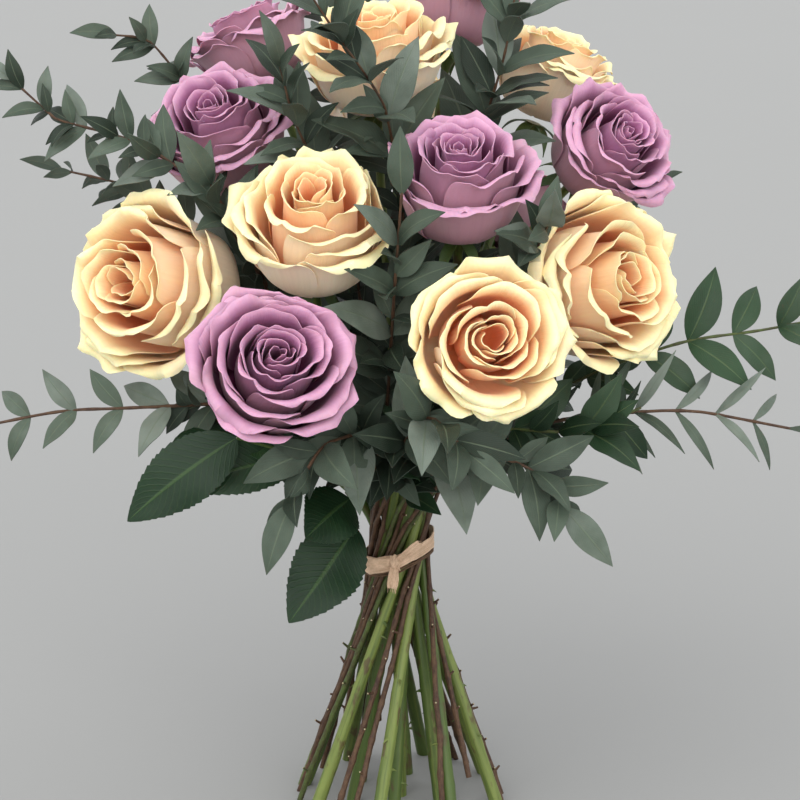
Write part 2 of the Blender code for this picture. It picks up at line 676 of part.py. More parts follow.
def tie_pieces(paths):
    """The strip round the waist, closed to a ring, its knot and its loose ends."""
    inner = waist_outline(paths)
    outer = inner * (1 + TIE_THICKNESS / np.linalg.norm(inner, axis=1))[:, None]
    points = []
    for outline in (inner, outer):
        for edge in (-0.5, 0.5):
            height = TIE_HEIGHT + TIE_SLOPE * outline[:, 0] + edge * TIE_WIDTH
            points.append(np.column_stack([outline, height]))
    faces = []
    n = TIE_CORNERS
    for index in range(n):
        after = (index + 1) % n
        faces.append((index, index + n, after + n, after))
        faces.append((index + 2 * n, after + 2 * n, after + 3 * n, index + 3 * n))
        faces.append((index, after, after + 2 * n, index + 2 * n))
        faces.append((index + n, index + 3 * n, after + 3 * n, after + n))
    front = int(np.argmin(outer[:, 1]))
    seat = np.array([*outer[front], TIE_HEIGHT + TIE_SLOPE * outer[front, 0]])
    pieces = [(np.vstack(points), faces), tube(seat + np.array(KNOT_POINTS), np.array(KNOT_RADII), STEM_SIDES)]
    for start, end, width in TAILS:
        start, end = seat + np.array(start), seat + np.array(end)
        middle = (start + end) / 2 + np.array([0, -0.0012, 0])
        across = unit(np.cross(end - start, (0, 1, 0))) * width / 2
        rows = [(start, 0.6, 0.6), (middle, 1.0, 1.0), (end, 0.5, 0.8)]
        points, triangles = sheet([np.array([at - across * low, at + across * high]) for at, low, high in rows])
        pieces.append(thicken(points, triangles, 0.9 * TIE_THICKNESS))
    return pieces


def make_object(name, points, faces):
    """A mesh object from points and faces."""
    mesh = bpy.data.meshes.new(name)
    mesh.from_pydata([tuple(point) for point in points], [], [tuple(int(i) for i in face) for face in faces])
    mesh.update()
    item = bpy.data.objects.new(name, mesh)
    bpy.context.scene.collection.objects.link(item)
    return item


def make_material(name, colour, roughness):
    """A plain surface."""
    material = bpy.data.materials.new(name)
    material.use_nodes = True
    shader = material.node_tree.nodes["Principled BSDF"]
    shader.inputs["Base Color"].default_value = (*colour, 1)
    shader.inputs["Roughness"].default_value = roughness
    shader.inputs["Metallic"].default_value = 0
    return material


def fuse(name, pieces, colour, roughness):
    """Joins the first piece and all the rest into one closed body with its own surface."""
    body = make_object(name, *pieces[0])
    if len(pieces) > 1:
        group = bpy.data.collections.new(name + "_repeats")
        bpy.context.scene.collection.children.link(group)
        for points, faces in pieces[1:]:
            repeat = make_object(name + "_repeat", points, faces)
            bpy.context.scene.collection.objects.unlink(repeat)
            group.objects.link(repeat)
        union = body.modifiers.new("union", "BOOLEAN")
        union.operation = "UNION"
        union.operand_type = "COLLECTION"
        union.collection = group
        union.solver = "MANIFOLD"
        trim = body.modifiers.new("trim", "DECIMATE")
        trim.ratio = SLIVER_TRIM
        evaluated = body.evaluated_get(bpy.context.evaluated_depsgraph_get())
        mesh = bpy.data.meshes.new_from_object(evaluated)
        body.modifiers.clear()
        body.data = mesh
        for repeat in list(group.objects):
            bpy.data.objects.remove(repeat)
        bpy.data.collections.remove(group)
    body.data.materials.clear()
    body.data.materials.append(make_material(name, colour, roughness))
    body.data.shade_smooth()
    body.data.set_sharp_from_angle(angle=SMOOTH_ANGLE)


def make_roses(paths):
    """Makes the blooms and their stems, and returns their search trees."""
    trees = []
    for index, rose in enumerate(ROSES):
        pieces = bloom_pieces(rose, FIRST_SEED + index)
        trees.append(solid_tree(pieces))
        fuse("bloom_" + rose.name, pieces, rose.colour, 0.6)
    for rose in ROSES:
        line = few_points(paths[rose.name])
        pieces = [stem_piece(line, STEM_CUT_RADIUS, STEM_TIE_RADIUS, STEM_NECK_RADIUS, STEM_SIDES, True)]
        for leaf in ROSE_LEAVES:
            if leaf.stem == rose.name:
                pieces += rose_leaf_pieces(leaf, paths)
        trees.append(solid_tree(pieces))
        fuse("stem_" + rose.name, pieces, STEM_GREEN, 0.55)
    return trees


def make_branches(paths, obstacles):
    """Makes the leafy branches, each clear of the others and of all the obstacles."""
    lines = {branch.name: few_points(paths[branch.name]) for branch in BRANCHES}
    twigs = {name: stem_piece(line, TWIG_CUT_RADIUS, TWIG_TIE_RADIUS, TWIG_TIP_RADIUS, TWIG_SIDES)
             for name, line in lines.items()}
    trees = {name: solid_tree([piece]) for name, piece in twigs.items()}
    for index, branch in enumerate(BRANCHES):
        others = obstacles + [tree for name, tree in trees.items() if name != branch.name]
        leaves = leaves_of(branch, lines[branch.name], others, FIRST_SEED + index)
        pieces = [twigs[branch.name]] + leaves
        trees[branch.name] = solid_tree(pieces)
        fuse("branch_" + branch.name, pieces, branch.kind.colour, 0.65)


def main():
    """Makes every node of the bouquet."""
    for item in list(bpy.data.objects):
        bpy.data.objects.remove(item)
    paths = plan_stems()
    obstacles = make_roses(paths)
    band = tie_pieces(paths)
    obstacles.append(solid_tree(band))
    fuse("tie", band, RAFFIA, 0.8)
    make_branches(paths, obstacles)


main()
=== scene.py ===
"""The looks of a hand-tied bouquet of garden roses that stands on its cut stems.

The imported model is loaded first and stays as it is. Each rose head, rose stem, leafy
branch and the tie is then made again as a finer surface that stands for its node and
keeps its place. Lengths are metres, +Z is up and the front looks along -Y.
"""
from __future__ import annotations

import logging
import math
from dataclasses import dataclass, field
from enum import Enum

import bpy
import numpy as np
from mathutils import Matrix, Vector


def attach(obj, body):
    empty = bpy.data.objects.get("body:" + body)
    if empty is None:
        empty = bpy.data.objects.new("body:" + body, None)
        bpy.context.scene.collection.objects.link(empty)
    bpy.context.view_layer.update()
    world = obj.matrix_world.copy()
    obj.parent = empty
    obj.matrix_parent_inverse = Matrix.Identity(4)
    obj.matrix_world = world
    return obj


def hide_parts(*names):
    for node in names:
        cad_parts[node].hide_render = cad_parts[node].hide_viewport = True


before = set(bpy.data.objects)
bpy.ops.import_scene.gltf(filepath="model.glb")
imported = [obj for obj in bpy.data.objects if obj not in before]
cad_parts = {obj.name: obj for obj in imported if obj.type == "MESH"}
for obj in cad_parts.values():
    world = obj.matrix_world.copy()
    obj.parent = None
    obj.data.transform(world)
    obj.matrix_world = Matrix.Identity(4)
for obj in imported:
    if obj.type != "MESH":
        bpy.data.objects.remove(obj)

Array = np.ndarray
Colour = tuple[float, float, float]
log = logging.getLogger("bouquet")

SEAT_GAP = 0.0003
FIRST_SEED = 40


class Ring(Enum):
    """Where a stem passes through the tie: its distance from the middle and its twist."""

    CENTRE = (0.0, 0.0)
    INNER = (0.0062, 0.19)
    OUTER = (0.0122, 0.37)
    TWIG = (0.0165, 0.37)


class Hue(Enum):
    """The two kinds of rose in the bunch."""

    PEACH = "petals_peach"
    LAVENDER = "petals_lavender"


# --------------------------------------------------------------------- plain geometry


def unit(vectors: Array) -> Array:
    """Vectors along the last axis at length one."""
    return vectors / np.maximum(np.linalg.norm(vectors, axis=-1, keepdims=True), 1e-12)


def bezier(points: Array, amount: Array) -> Array:
    """Points of a cubic Bezier curve.

    The four control points are weighted by the Bernstein polynomials of the amount.

    Args:
        points: four control points of any dimension.
        amount: parameters from 0 to 1, in an array of any shape.

    Returns:
        The points, in the amount's shape with the dimension added last.
    """
    t = np.asarray(amount)[..., None]
    p0, p1, p2, p3 = np.asarray(points, float)
    return (1 - t) ** 3 * p0 + 3 * (1 - t) ** 2 * t * p1 + 3 * (1 - t) * t**2 * p2 + t**3 * p3


def spline(points: Array, per_span: int) -> Array:
    """A smooth curve through points, as cubic spans whose handles follow the neighbours.

    Args:
        points: the points to pass through.
        per_span: how many steps each span is cut into.

    Returns:
        The points of the curve, the last one included.
    """
    points = np.asarray(points, float)
    ends = np.vstack([2 * points[0] - points[1], points, 2 * points[-1] - points[-2]])
    curve = []
    for before, start, end, after in zip(ends, ends[1:], ends[2:], ends[3:]):
        handles = (start, start + (end - before) / 6, end - (after - start) / 6, end)
        curve.append(bezier(handles, np.arange(per_span) / per_span))
    return np.vstack([*curve, points[-1:]])


def travelled(route: Array) -> Array:
    """The distance from the route's start to each of its points."""
    return np.concatenate([[0.0], np.cumsum(np.linalg.norm(np.diff(route, axis=0), axis=1))])


def point_at(place: float | Array, distance: Array, route: Array) -> Array:
    """The point or points of a route at given distances along it."""
    return np.stack([np.interp(place, distance, route[:, side]) for side in range(3)], axis=-1)


def ease(values: Array, low: float, high: float) -> Array:
    """A smooth step: 0 below low, 1 above high, with the cubic 3t^2 - 2t^3 between."""
    t = np.clip((values - low) / (high - low), 0, 1)
    return t * t * (3 - 2 * t)


# --------------------------------------------------------------------------- surfaces


@dataclass
class Skin:
    """The points, faces and surface facts of one piece, gathered until it is built.

    Each point has a place (across, along, side) on its own petal, leaf or stem, and a
    kind (layer, tone, mark), which the finishes read.
    """

    points: list[Array] = field(default_factory=list)
    quads: list[Array] = field(default_factory=list)
    triangles: list[Array] = field(default_factory=list)
    places: list[Array] = field(default_factory=list)
    kinds: list[Array] = field(default_factory=list)
    count: int = 0

    def add(self, points: Array, quads: Array, place: Array, kind: Array, triangles: Array | None = None) -> None:
        """Adds one closed surface.

        Args:
            points: its points, n by 3.
            quads: its four-sided faces as point numbers.
            place: across, along and side at each point.
            kind: layer, tone and mark at each point, or once for all.
            triangles: its three-sided faces, if any.
        """
        self.quads.append(quads + self.count)
        if triangles is not None:
            self.triangles.append(triangles + self.count)
        self.points.append(points)
        self.places.append(place)
        self.kinds.append(np.broadcast_to(kind, points.shape))
        self.count += len(points)

    def blade(self, grid: Array, thickness: float | Array, kind: tuple[float, float, float]) -> None:
        """Adds a thin closed blade: a grid of points moved half a thickness to both sides.

        The normal at a point is the cross product of the steps across and along. It
        points to a leaf's underside or a petal's back, where the side is 0. A strip of
        faces round the border joins the two sides.

        Args:
            grid: rows by columns by 3 points; rows run along, columns across.
            thickness: one thickness, or one for each point of the grid.
            kind: the layer, tone and mark of the whole blade.
        """
        rows, columns = grid.shape[:2]
        normal = unit(np.cross(np.gradient(grid, axis=1), np.gradient(grid, axis=0)))
        half = np.broadcast_to(np.asarray(thickness) / 2, (rows, columns))[..., None]
        index = np.arange(rows * columns).reshape(rows, columns)
        faces = np.stack([index[:-1, :-1], index[:-1, 1:], index[1:, 1:], index[1:, :-1]], -1).reshape(-1, 4)
        border = np.concatenate([index[0, :-1], index[:-1, -1], index[-1, :0:-1], index[:0:-1, 0]])
        after = np.roll(border, -1)
        strip = np.stack([after, border, border + index.size, after + index.size], -1)
        quads = np.vstack([faces, faces[:, ::-1] + index.size, strip])
        points = np.concatenate([grid + normal * half, grid - normal * half]).reshape(-1, 3)
        along, across = np.meshgrid(np.linspace(0, 1, rows), np.linspace(0, 1, columns), indexing="ij")
        front = np.stack([across, along, np.ones_like(along)], -1).reshape(-1, 3)
        back = front * (1, 1, 0)
        self.add(points, quads, np.vstack([back, front]), np.array(kind))

    def tube(self, path: Array, radii: Array, sides: int, kind: tuple[float, float, float], level_foot: bool = False) -> None:
        """Adds a closed round stem: a circle of a given radius carried along a path.

        The circle at each point lies across the path's direction there. Both ends are
        closed by a narrow bevel, a flat ring and a middle point, marked as a cut.

        Args:
            path: the middle line.
            radii: the radius at each of its points.
            sides: how many points each circle has.
            kind: layer, tone and mark of the stem; the mark is 1 on the cut ends.
            level_foot: whether the first circle lies level on the floor.
        """
        tangent = unit(np.gradient(path, axis=0))
        if level_foot:
            tangent[0] = (0, 0, 1)
        choice = np.eye(3)[int(np.argmin(np.abs(tangent).max(0)))]
        side = unit(np.cross(tangent, choice))
        other = np.cross(tangent, side)
        turn = np.arange(sides) * 2 * math.pi / sides
        circle = np.cos(turn)[None, :, None] * side[:, None] + np.sin(turn)[None, :, None] * other[:, None]
        rings = path[:, None] + radii[:, None, None] * circle
        low = path[0] + 0.93 * radii[0] * circle[0]
        high = path[-1] + 0.93 * radii[-1] * circle[-1]
        grid = np.concatenate([low[None], rings, high[None]])
        rows = len(grid)
        index = np.arange(rows * sides).reshape(rows, sides)
        ahead = np.roll(index, -1, axis=1)
        quads = np.stack([index[:-1], ahead[:-1], ahead[1:], index[1:]], -1).reshape(-1, 4)
        foot, top = rows * sides, rows * sides + 1
        caps = np.vstack([np.stack([np.full(sides, foot), ahead[0], index[0]], -1),
                          np.stack([np.full(sides, top), index[-1], ahead[-1]], -1)])
        points = np.vstack([grid.reshape(-1, 3), path[0], path[-1]])
        distance = travelled(path)
        along = np.concatenate([[0], distance, [distance[-1]]])
        place = np.stack([np.tile(np.arange(sides) / sides, rows), np.repeat(along, sides), np.ones(rows * sides)], -1)
        place = np.vstack([place, (0, 0, 1), (0, distance[-1], 1)])
        mark = np.zeros(rows * sides)
        mark[:sides] = 1
        mark[-sides:] = 1
        layer, tone, _ = kind
        facts = np.column_stack([np.full(len(points), layer), np.full(len(points), tone), np.append(mark, (1, 1))])
        self.add(points, quads, place, facts, caps)

    def build(self, name: str, finish: bpy.types.Material, crease: float = 55) -> bpy.types.Object:
        """Makes the mesh object.

        Args:
            name: the piece's name.
            finish: its material.
            crease: the angle in degrees past which an edge stays sharp.

        Returns:
            The new object, at the origin, with its place in its mesh.
        """
        points = np.vstack(self.points)
        quads = np.vstack(self.quads)
        triangles = np.vstack(self.triangles) if self.triangles else np.zeros((0, 3), int)
        mesh = bpy.data.meshes.new(name)
        mesh.vertices.add(len(points))
        mesh.vertices.foreach_set("co", points.astype(np.float32).ravel())
        corners = np.concatenate([quads.ravel(), triangles.ravel()]).astype(np.int32)
        mesh.loops.add(len(corners))
        mesh.loops.foreach_set("vertex_index", corners)
        starts = np.concatenate([np.arange(len(quads)) * 4, len(quads) * 4 + np.arange(len(triangles)) * 3])
        mesh.polygons.add(len(starts))
        mesh.polygons.foreach_set("loop_start", starts.astype(np.int32))
        mesh.update(calc_edges=True)
        for label, values in (("place", self.places), ("kind", self.kinds)):
            fact = mesh.attributes.new(label, "FLOAT_VECTOR", "POINT")
            fact.data.foreach_set("vector", np.vstack(values).astype(np.float32).ravel())
        mesh.shade_smooth()
        mesh.set_sharp_from_angle(angle=math.radians(crease))
        mesh.materials.append(finish)
        item = bpy.data.objects.new(name, mesh)
        bpy.context.scene.collection.objects.link(item)
        log.info("%s: %d faces", name, len(quads) * 2 + len(triangles))
        return item


def put(piece: bpy.types.Object, node: str) -> None:
    """Lets a piece ride on the bouquet and stand for its node."""
    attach(piece, "root")
    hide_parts(node)


# ---------------------------------------------------------------------------- finishes


class Wire:
    """One shader socket that Python's operators can work on."""

    def __init__(self, graph: Graph, socket: bpy.types.NodeSocket) -> None:
        self.graph = graph
        self.socket = socket

    def __add__(self, other: Value) -> Wire:
        """The sum."""
        return self.graph.sum("ADD", self, other)

    def __radd__(self, other: Value) -> Wire:
        """The sum, with the number first."""
        return self.graph.sum("ADD", other, self)

    def __sub__(self, other: Value) -> Wire:
        """The difference."""
        return self.graph.sum("SUBTRACT", self, other)

    def __rsub__(self, other: Value) -> Wire:
        """The difference, with the number first."""
        return self.graph.sum("SUBTRACT", other, self)

    def __mul__(self, other: Value) -> Wire:
        """The product."""
        return self.graph.sum("MULTIPLY", self, other)

    def __rmul__(self, other: Value) -> Wire:
        """The product, with the number first."""
        return self.graph.sum("MULTIPLY", other, self)

    def __pow__(self, other: Value) -> Wire:
        """The power."""
        return self.graph.sum("POWER", self, other)


Value = Wire | float


class Graph:
    """A material's node tree, written as calls and expressions."""

    def __init__(self, name: str) -> None:
        self.material = bpy.data.materials.new(name)
        self.material.use_nodes = True
        self.tree = self.material.node_tree
        self.shader = self.tree.nodes["Principled BSDF"]

    def node(self, kind: str, settings: dict[str, object] | None = None, output: int | str = 0,
             **sockets: Value | Colour) -> Wire:
        """Makes one node.

        Args:
            kind: its type.
            settings: properties that are set first.
            output: the name or number of the output that is wanted.
            **sockets: values or links; in_0 names input 0, other names are input names
                with underscores for spaces.

        Returns:
            The wanted output.
        """
        made = self.tree.nodes.new(kind)
        for key, value in (settings or {}).items():
            if key == "stops":
                self.paint(made, value)
            else:
                setattr(made, key, value)
        for key, value in sockets.items():
            slot = made.inputs[int(key[3:])] if key.startswith("in_") else made.inputs[key.replace("_", " ")]
            self.link(slot, value)
        return Wire(self, made.outputs[output])

    def link(self, slot: bpy.types.NodeSocket, value: Value | Colour) -> None:
        """Gives a socket a link or a fixed value."""
        if isinstance(value, Wire):
            self.tree.links.new(value.socket, slot)
        elif isinstance(value, tuple) and slot.type == "RGBA":
            slot.default_value = (*value, 1.0)
        else:
            slot.default_value = value

    @staticmethod
    def paint(made: bpy.types.Node, stops: list[tuple[float, Colour]]) -> None:
        """Sets the stops of a colour ramp."""
        ramp = made.color_ramp
        while len(ramp.elements) < len(stops):
            ramp.elements.new(0.5)
        for element, (position, colour) in zip(ramp.elements, stops):
            element.position = position
            element.color = (*colour, 1.0)

    def sum(self, operation: str, first: Value, second: Value) -> Wire:
        """One Math node."""
        return self.node("ShaderNodeMath", {"operation": operation}, in_0=first, in_1=second)

    def step(self, value: Value, low: Value, high: Value) -> Wire:
        """0 below low and 1 above high, with a smooth rise between."""
        return self.node("ShaderNodeMapRange", {"interpolation_type": "SMOOTHSTEP"}, Value=value, From_Min=low, From_Max=high)

    def blend(self, share: Value, first: Wire | Colour, second: Wire | Colour) -> Wire:
        """A colour between two colours."""
        return self.node("ShaderNodeMix", {"data_type": "RGBA"}, 2, in_0=share, in_6=first, in_7=second)

    def shade(self, colour: Wire | Colour, factor: Value) -> Wire:
        """A colour made darker or lighter by a factor."""
        grey = self.node("ShaderNodeCombineXYZ", in_0=factor, in_1=factor, in_2=factor)
        return self.node("ShaderNodeVectorMath", {"operation": "MULTIPLY"}, in_0=colour, in_1=grey)

    def fact(self, label: str) -> tuple[Wire, Wire, Wire]:
        """The three numbers that a piece holds at each point under a label."""
        vector = self.node("ShaderNodeAttribute", {"attribute_name": label}, "Vector")
        split = vector.socket.node
        parts = self.tree.nodes.new("ShaderNodeSeparateXYZ")
        self.tree.links.new(split.outputs["Vector"], parts.inputs[0])
        return Wire(self, parts.outputs[0]), Wire(self, parts.outputs[1]), Wire(self, parts.outputs[2])

    def spot(self) -> Wire:
        """The point in the object's own frame."""
        return self.node("ShaderNodeTexCoord", None, "Object")

    def vector(self, x: Value, y: Value, z: Value) -> Wire:
        """A vector from three numbers."""
        return self.node("ShaderNodeCombineXYZ", in_0=x, in_1=y, in_2=z)

    def noise(self, where: Wire, scale: float, detail: float = 3.0, rough: float = 0.55) -> Wire:
        """Cloudy noise from 0 to 1."""
        return self.node("ShaderNodeTexNoise", None, "Fac", Vector=where, Scale=scale, Detail=detail, Roughness=rough)

    def bump(self, height: Wire, distance: float, strength: float = 1.0) -> Wire:
        """A normal that follows a height."""
        return self.node("ShaderNodeBump", None, "Normal", Height=height, Distance=distance, Strength=strength)

    def finish(self, colour: Wire, roughness: Value, normal: Wire, **fixed: float | Colour) -> bpy.types.Material:
        """Joins the results to the surface.

        Args:
            colour: the base colour.
            roughness: the roughness.
            normal: the bumped normal.
            **fixed: other sockets of the surface with one value all over.

        Returns:
            The finished material.
        """
        self.link(self.shader.inputs["Base Color"], colour)
        self.link(self.shader.inputs["Roughness"], roughness)
        self.link(self.shader.inputs["Normal"], normal)
        for key, value in fixed.items():
            self.shader.inputs[key.replace("_", " ")].default_value = value
        return self.material


@dataclass(frozen=True)
class PetalFinish:
    """The colours of one kind of rose, from the heart to the outermost backs. For the peach roses the heart and depth
    colours at the petal roots are partly the petals' own orange base and partly painted glow: light through the petals
    into the crevices.
    """

    name: str
    heart: Colour
    depth: Colour
    middle: Colour
    rim: Colour
    back_root: Colour
    back: Colour
    blush: Colour

    def material(self) -> bpy.types.Material:
        """Petals: a colour that runs from root to rim, other on the back, with fine veins."""
        g = Graph(self.name)
        across, along, side = g.fact("place")
        layer, tone, _ = g.fact("kind")
        spot = g.spot()
        cloud = g.noise(spot, 38.0, 3.0)
        fibre = g.noise(g.vector(across * 34.0 + tone * 20.0, along * 2.2, tone * 9.0), 1.0, 4.0, 0.6)
        # Root colour near the base of each petal. For peach it is partly the petals' own orange base and partly
        # painted glow, lightened to soften the shade in the crevices.
        root = g.blend(g.step(layer, 0.50, 0.95), self.heart, self.depth)
        rise = along + (cloud - 0.5) * 0.16
        front = g.blend(g.step(rise, 0.52 - layer * 0.22, 1.0 - layer * 0.26), root, self.middle)
        pale = g.step(rise, 0.90 - layer * 0.42, 1.03 - layer * 0.12)
        front = g.blend(pale, front, self.rim)
        back = g.blend(g.step(rise, 0.05, 0.50), self.back_root, self.back)
        back = g.blend(g.step(layer, 0.25, 0.75), g.blend(g.step(rise, 0.35, 0.8), root, self.middle), back)
        back = g.blend(g.step(rise, 0.78, 1.0) * 0.8, back, self.rim)
        colour = g.blend(g.step(side, 0.45, 0.55), back, front)
        colour = g.blend(g.step(cloud, 0.50, 0.78) * g.step(layer, 0.5, 1.0) * 0.55, colour, self.blush)
        colour = g.shade(colour, 0.93 + tone * 0.10 + (fibre - 0.5) * 0.16)
        normal = g.bump(fibre + cloud * 0.6, 0.0006, 0.45)
        return g.finish(colour, 0.50 + cloud * 0.16, normal, Subsurface_Weight=0.45, Subsurface_Scale=0.0008,
                        Subsurface_Radius=(1.0, 0.6, 0.4), Sheen_Weight=0.1, Sheen_Roughness=0.5)


@dataclass(frozen=True)
class LeafFinish:
    """The colours of leaves and of the twig that carries them."""

    name: str
    dark: Colour
    light: Colour
    bloom: Colour
    under: Colour
    midrib: Colour
    bark: Colour
    young: Colour
    roughness: float
    serrated: bool = False

    def material(self) -> bpy.types.Material:
        """Leaves on a brown twig: veins and midrib follow the leaf, the bark its own noise.

        The layer tells a leaf (1) from a twig (0).
        """
        g = Graph(self.name)
        across, along, side = g.fact("place")
        layer, tone, mark = g.fact("kind")
        spot = g.spot()
        cloud = g.noise(spot, 55.0, 4.0)
        off_middle = g.sum("ABSOLUTE", across - 0.5, 0.0)
        slant = along * 16.0 - off_middle * (7.0 if self.serrated else 13.0)
        rib = g.sum("ABSOLUTE", g.sum("FRACT", slant, 0.0) - 0.5, 0.0)
        vein = 1.0 - g.step(rib, 0.0, 0.20)
        middle = 1.0 - g.step(off_middle, 0.012, 0.040)
        # Dark to light to bloom by noise and the leaf's tone. The filling leaves of the branches get low tones, so
        # this also paints shade deep in the bunch.
        leaf = g.blend(g.step(cloud * 0.6 + tone, 0.30, 1.05), self.dark, self.light)
        leaf = g.blend(g.step(cloud * 0.6 + tone, 0.95, 1.35) * 0.9, leaf, self.bloom)
        leaf = g.blend(vein * (0.12 if self.serrated else 0.10), leaf, self.midrib)
        leaf = g.blend(1.0 - g.step(side, 0.4, 0.6), leaf, self.under)
        leaf = g.blend(middle * 0.60, leaf, self.midrib)
        ridges = g.noise(g.vector(across * 5.0, along * 260.0, tone * 5.0), 1.0, 4.0, 0.7)
        bark = g.blend(g.step(ridges + cloud * 0.4, 0.45, 0.95), self.bark, self.young)
        bark = g.blend(g.step(mark, 0.5, 0.9), bark, (0.42, 0.36, 0.22))
        colour = g.blend(g.step(layer, 0.4, 0.6), bark, leaf)
        colour = g.shade(colour, 0.86 + cloud * 0.28)
        height = middle * 0.9 + vein * (0.6 if self.serrated else 0.35) + cloud * 0.5 + ridges * 0.6
        rough = self.roughness + (cloud - 0.5) * 0.2
        return g.finish(colour, rough, g.bump(height, 0.0004, 0.5), Subsurface_Weight=0.04, Subsurface_Scale=0.002,
                        Specular_IOR_Level=0.28)


@dataclass(frozen=True)
class StemFinish:
    """The colours of a rose's stem, its sepals and its cut end."""

    name: str
    green: Colour
    pale: Colour
    scar: Colour
    cut: Colour
    sepal: Colour

    def material(self) -> bpy.types.Material:
        """A green stem with long paler streaks, brown scars and a pale cut end."""
        g = Graph(self.name)
        across, along, side = g.fact("place")
        layer, tone, mark = g.fact("kind")
        spot = g.spot()
        cloud = g.noise(spot, 70.0, 4.0)
        streak = g.noise(g.vector(across * 9.0 + tone * 8.0, along * 18.0, tone * 7.0), 1.0, 4.0, 0.6)
        scab = g.noise(g.vector(across * 4.0 + tone * 31.0, along * 75.0, tone * 3.0), 1.0, 3.0, 0.5)
        colour = g.blend(g.step(streak + (tone - 0.5) * 0.25, 0.34, 0.70), self.green, self.pale)
        colour = g.blend(g.step(scab, 0.56, 0.68) * 0.75, colour, self.scar)
        sepal = g.blend(g.step(cloud, 0.35, 0.7), self.sepal, self.green)
        colour = g.blend(g.step(layer, 0.4, 0.6), colour, sepal)
        colour = g.blend(g.step(mark, 0.5, 0.9), colour, self.cut)
        colour = g.shade(colour, 0.85 + cloud * 0.3 + side * 0.0)
        return g.finish(colour, 0.44 + cloud * 0.2, g.bump(streak + scab * 0.7 + cloud * 0.3, 0.0006, 0.5),
                        Subsurface_Weight=0.05, Subsurface_Scale=0.002)


@dataclass(frozen=True)
class RaffiaFinish:
    """The colours of the dry raffia strip and of the twine under it."""

    name: str
    pale: Colour
    dark: Colour
    twine: Colour

    def material(self) -> bpy.types.Material:
        """Long fibres that run along the strip, pale and tan in turn."""
        g = Graph(self.name)
        across, along, _ = g.fact("place")
        layer, tone, _ = g.fact("kind")
        cloud = g.noise(g.spot(), 160.0, 4.0)
        fibre = g.noise(g.vector(across * 42.0 + tone * 10.0, along * 5.0, tone * 6.0), 1.0, 5.0, 0.65)
        colour = g.blend(g.step(fibre + cloud * 0.3, 0.42, 0.85), self.dark, self.pale)
        colour = g.blend(g.step(layer, 0.4, 0.6), colour, self.twine)
        colour = g.shade(colour, 0.85 + cloud * 0.3)
        return g.finish(colour, 0.72 + fibre * 0.15, g.bump(fibre + cloud * 0.4, 0.0007, 0.8))


# The peach heart and depth colours are partly the petals' own orange base and partly painted glow in the crevices
# between petals.
PEACH_PETALS = PetalFinish("peach petals", (1.00, 0.42, 0.19), (1.00, 0.69, 0.44), (1.00, 0.67, 0.37),
                           (1.00, 0.87, 0.50), (1.00, 0.70, 0.47), (1.00, 0.81, 0.59), (1.00, 0.74, 0.56))
LAVENDER_PETALS = PetalFinish("lavender petals", (0.26, 0.04, 0.14), (0.28, 0.08, 0.17), (0.45, 0.18, 0.34),
                              (0.63, 0.34, 0.49), (0.38, 0.17, 0.22), (0.49, 0.26, 0.33), (0.53, 0.34, 0.38))
GREY_LEAVES = LeafFinish("grey green leaves", (0.015, 0.026, 0.016), (0.074, 0.102, 0.073), (0.165, 0.198, 0.165),
                         (0.080, 0.106, 0.080), (0.120, 0.155, 0.100), (0.046, 0.022, 0.015), (0.120, 0.068, 0.036), 0.55)
DARK_LEAVES = LeafFinish("dark green leaves", (0.008, 0.024, 0.010), (0.022, 0.054, 0.022), (0.04, 0.07, 0.04),
                         (0.05, 0.085, 0.05), (0.08, 0.12, 0.05), (0.05, 0.04, 0.02), (0.08, 0.12, 0.03), 0.45)
ROSE_LEAVES_FINISH = LeafFinish("rose leaves", (0.008, 0.026, 0.010), (0.020, 0.056, 0.019), (0.03, 0.06, 0.03),
                                (0.05, 0.09, 0.05), (0.05, 0.10, 0.03), (0.05, 0.07, 0.02), (0.08, 0.14, 0.03), 0.48,
                                True)
ROSE_STEM = StemFinish("rose stem", (0.060, 0.100, 0.016), (0.165, 0.21, 0.045), (0.075, 0.038, 0.018),
                       (0.45, 0.48, 0.25), (0.055, 0.11, 0.028))
RAFFIA = RaffiaFinish("raffia strip", (0.86, 0.62, 0.44), (0.50, 0.32, 0.19), (0.13, 0.07, 0.035))


# ------------------------------------------------------------------ the bouquet's plan


@dataclass
class Rose:
    """One rose: where the middle of its face is, which way it looks and its character.

    fullness swells the goblet below the rim, cup is how far the heart lies below the rim,
    curl how far the rims roll back and grain the angle of the heart's long side.
    """

    name: str
    hue: Hue
    face: tuple[float, float, float]
    azimuth: float
    tilt: float
    radius: float
    height: float
    ring: Ring
    fullness: float = 0.3
    cup: float = 0.04
    curl: float = 1.0
    grain: float = field(init=False)
    axis: Array = field(init=False)
    base: Array = field(init=False)
    middle: Array = field(init=False)

    def __post_init__(self) -> None:
        """Works out the axis and the base from the face."""
        turn, lean = math.radians(self.azimuth), math.radians(self.tilt)
        level = math.sin(lean)
        self.grain = 1.7 * (ord(self.name) - ord("a"))
        self.axis = np.array([level * math.cos(turn), level * math.sin(turn), math.cos(lean)])
        self.base = np.array(self.face) - self.axis * self.height
        self.middle = self.base + self.axis * 0.62 * self.height


@dataclass(frozen=True)
class LeafKind:
    """Length, width, spacing and bend of the leaves on a branch."""

    length: float
    width: float
    spacing: float
    droop: float


class Leaves(Enum):
    """The kinds of leaf in the bunch."""

    SILVER = LeafKind(0.034, 0.0130, 0.0230, 0.10)
    BROAD = LeafKind(0.050, 0.0200, 0.0250, 0.10)
    NARROW = LeafKind(0.042, 0.0064, 0.0200, 0.1001)
    DARK = LeafKind(0.044, 0.0190, 0.0250, 0.10)


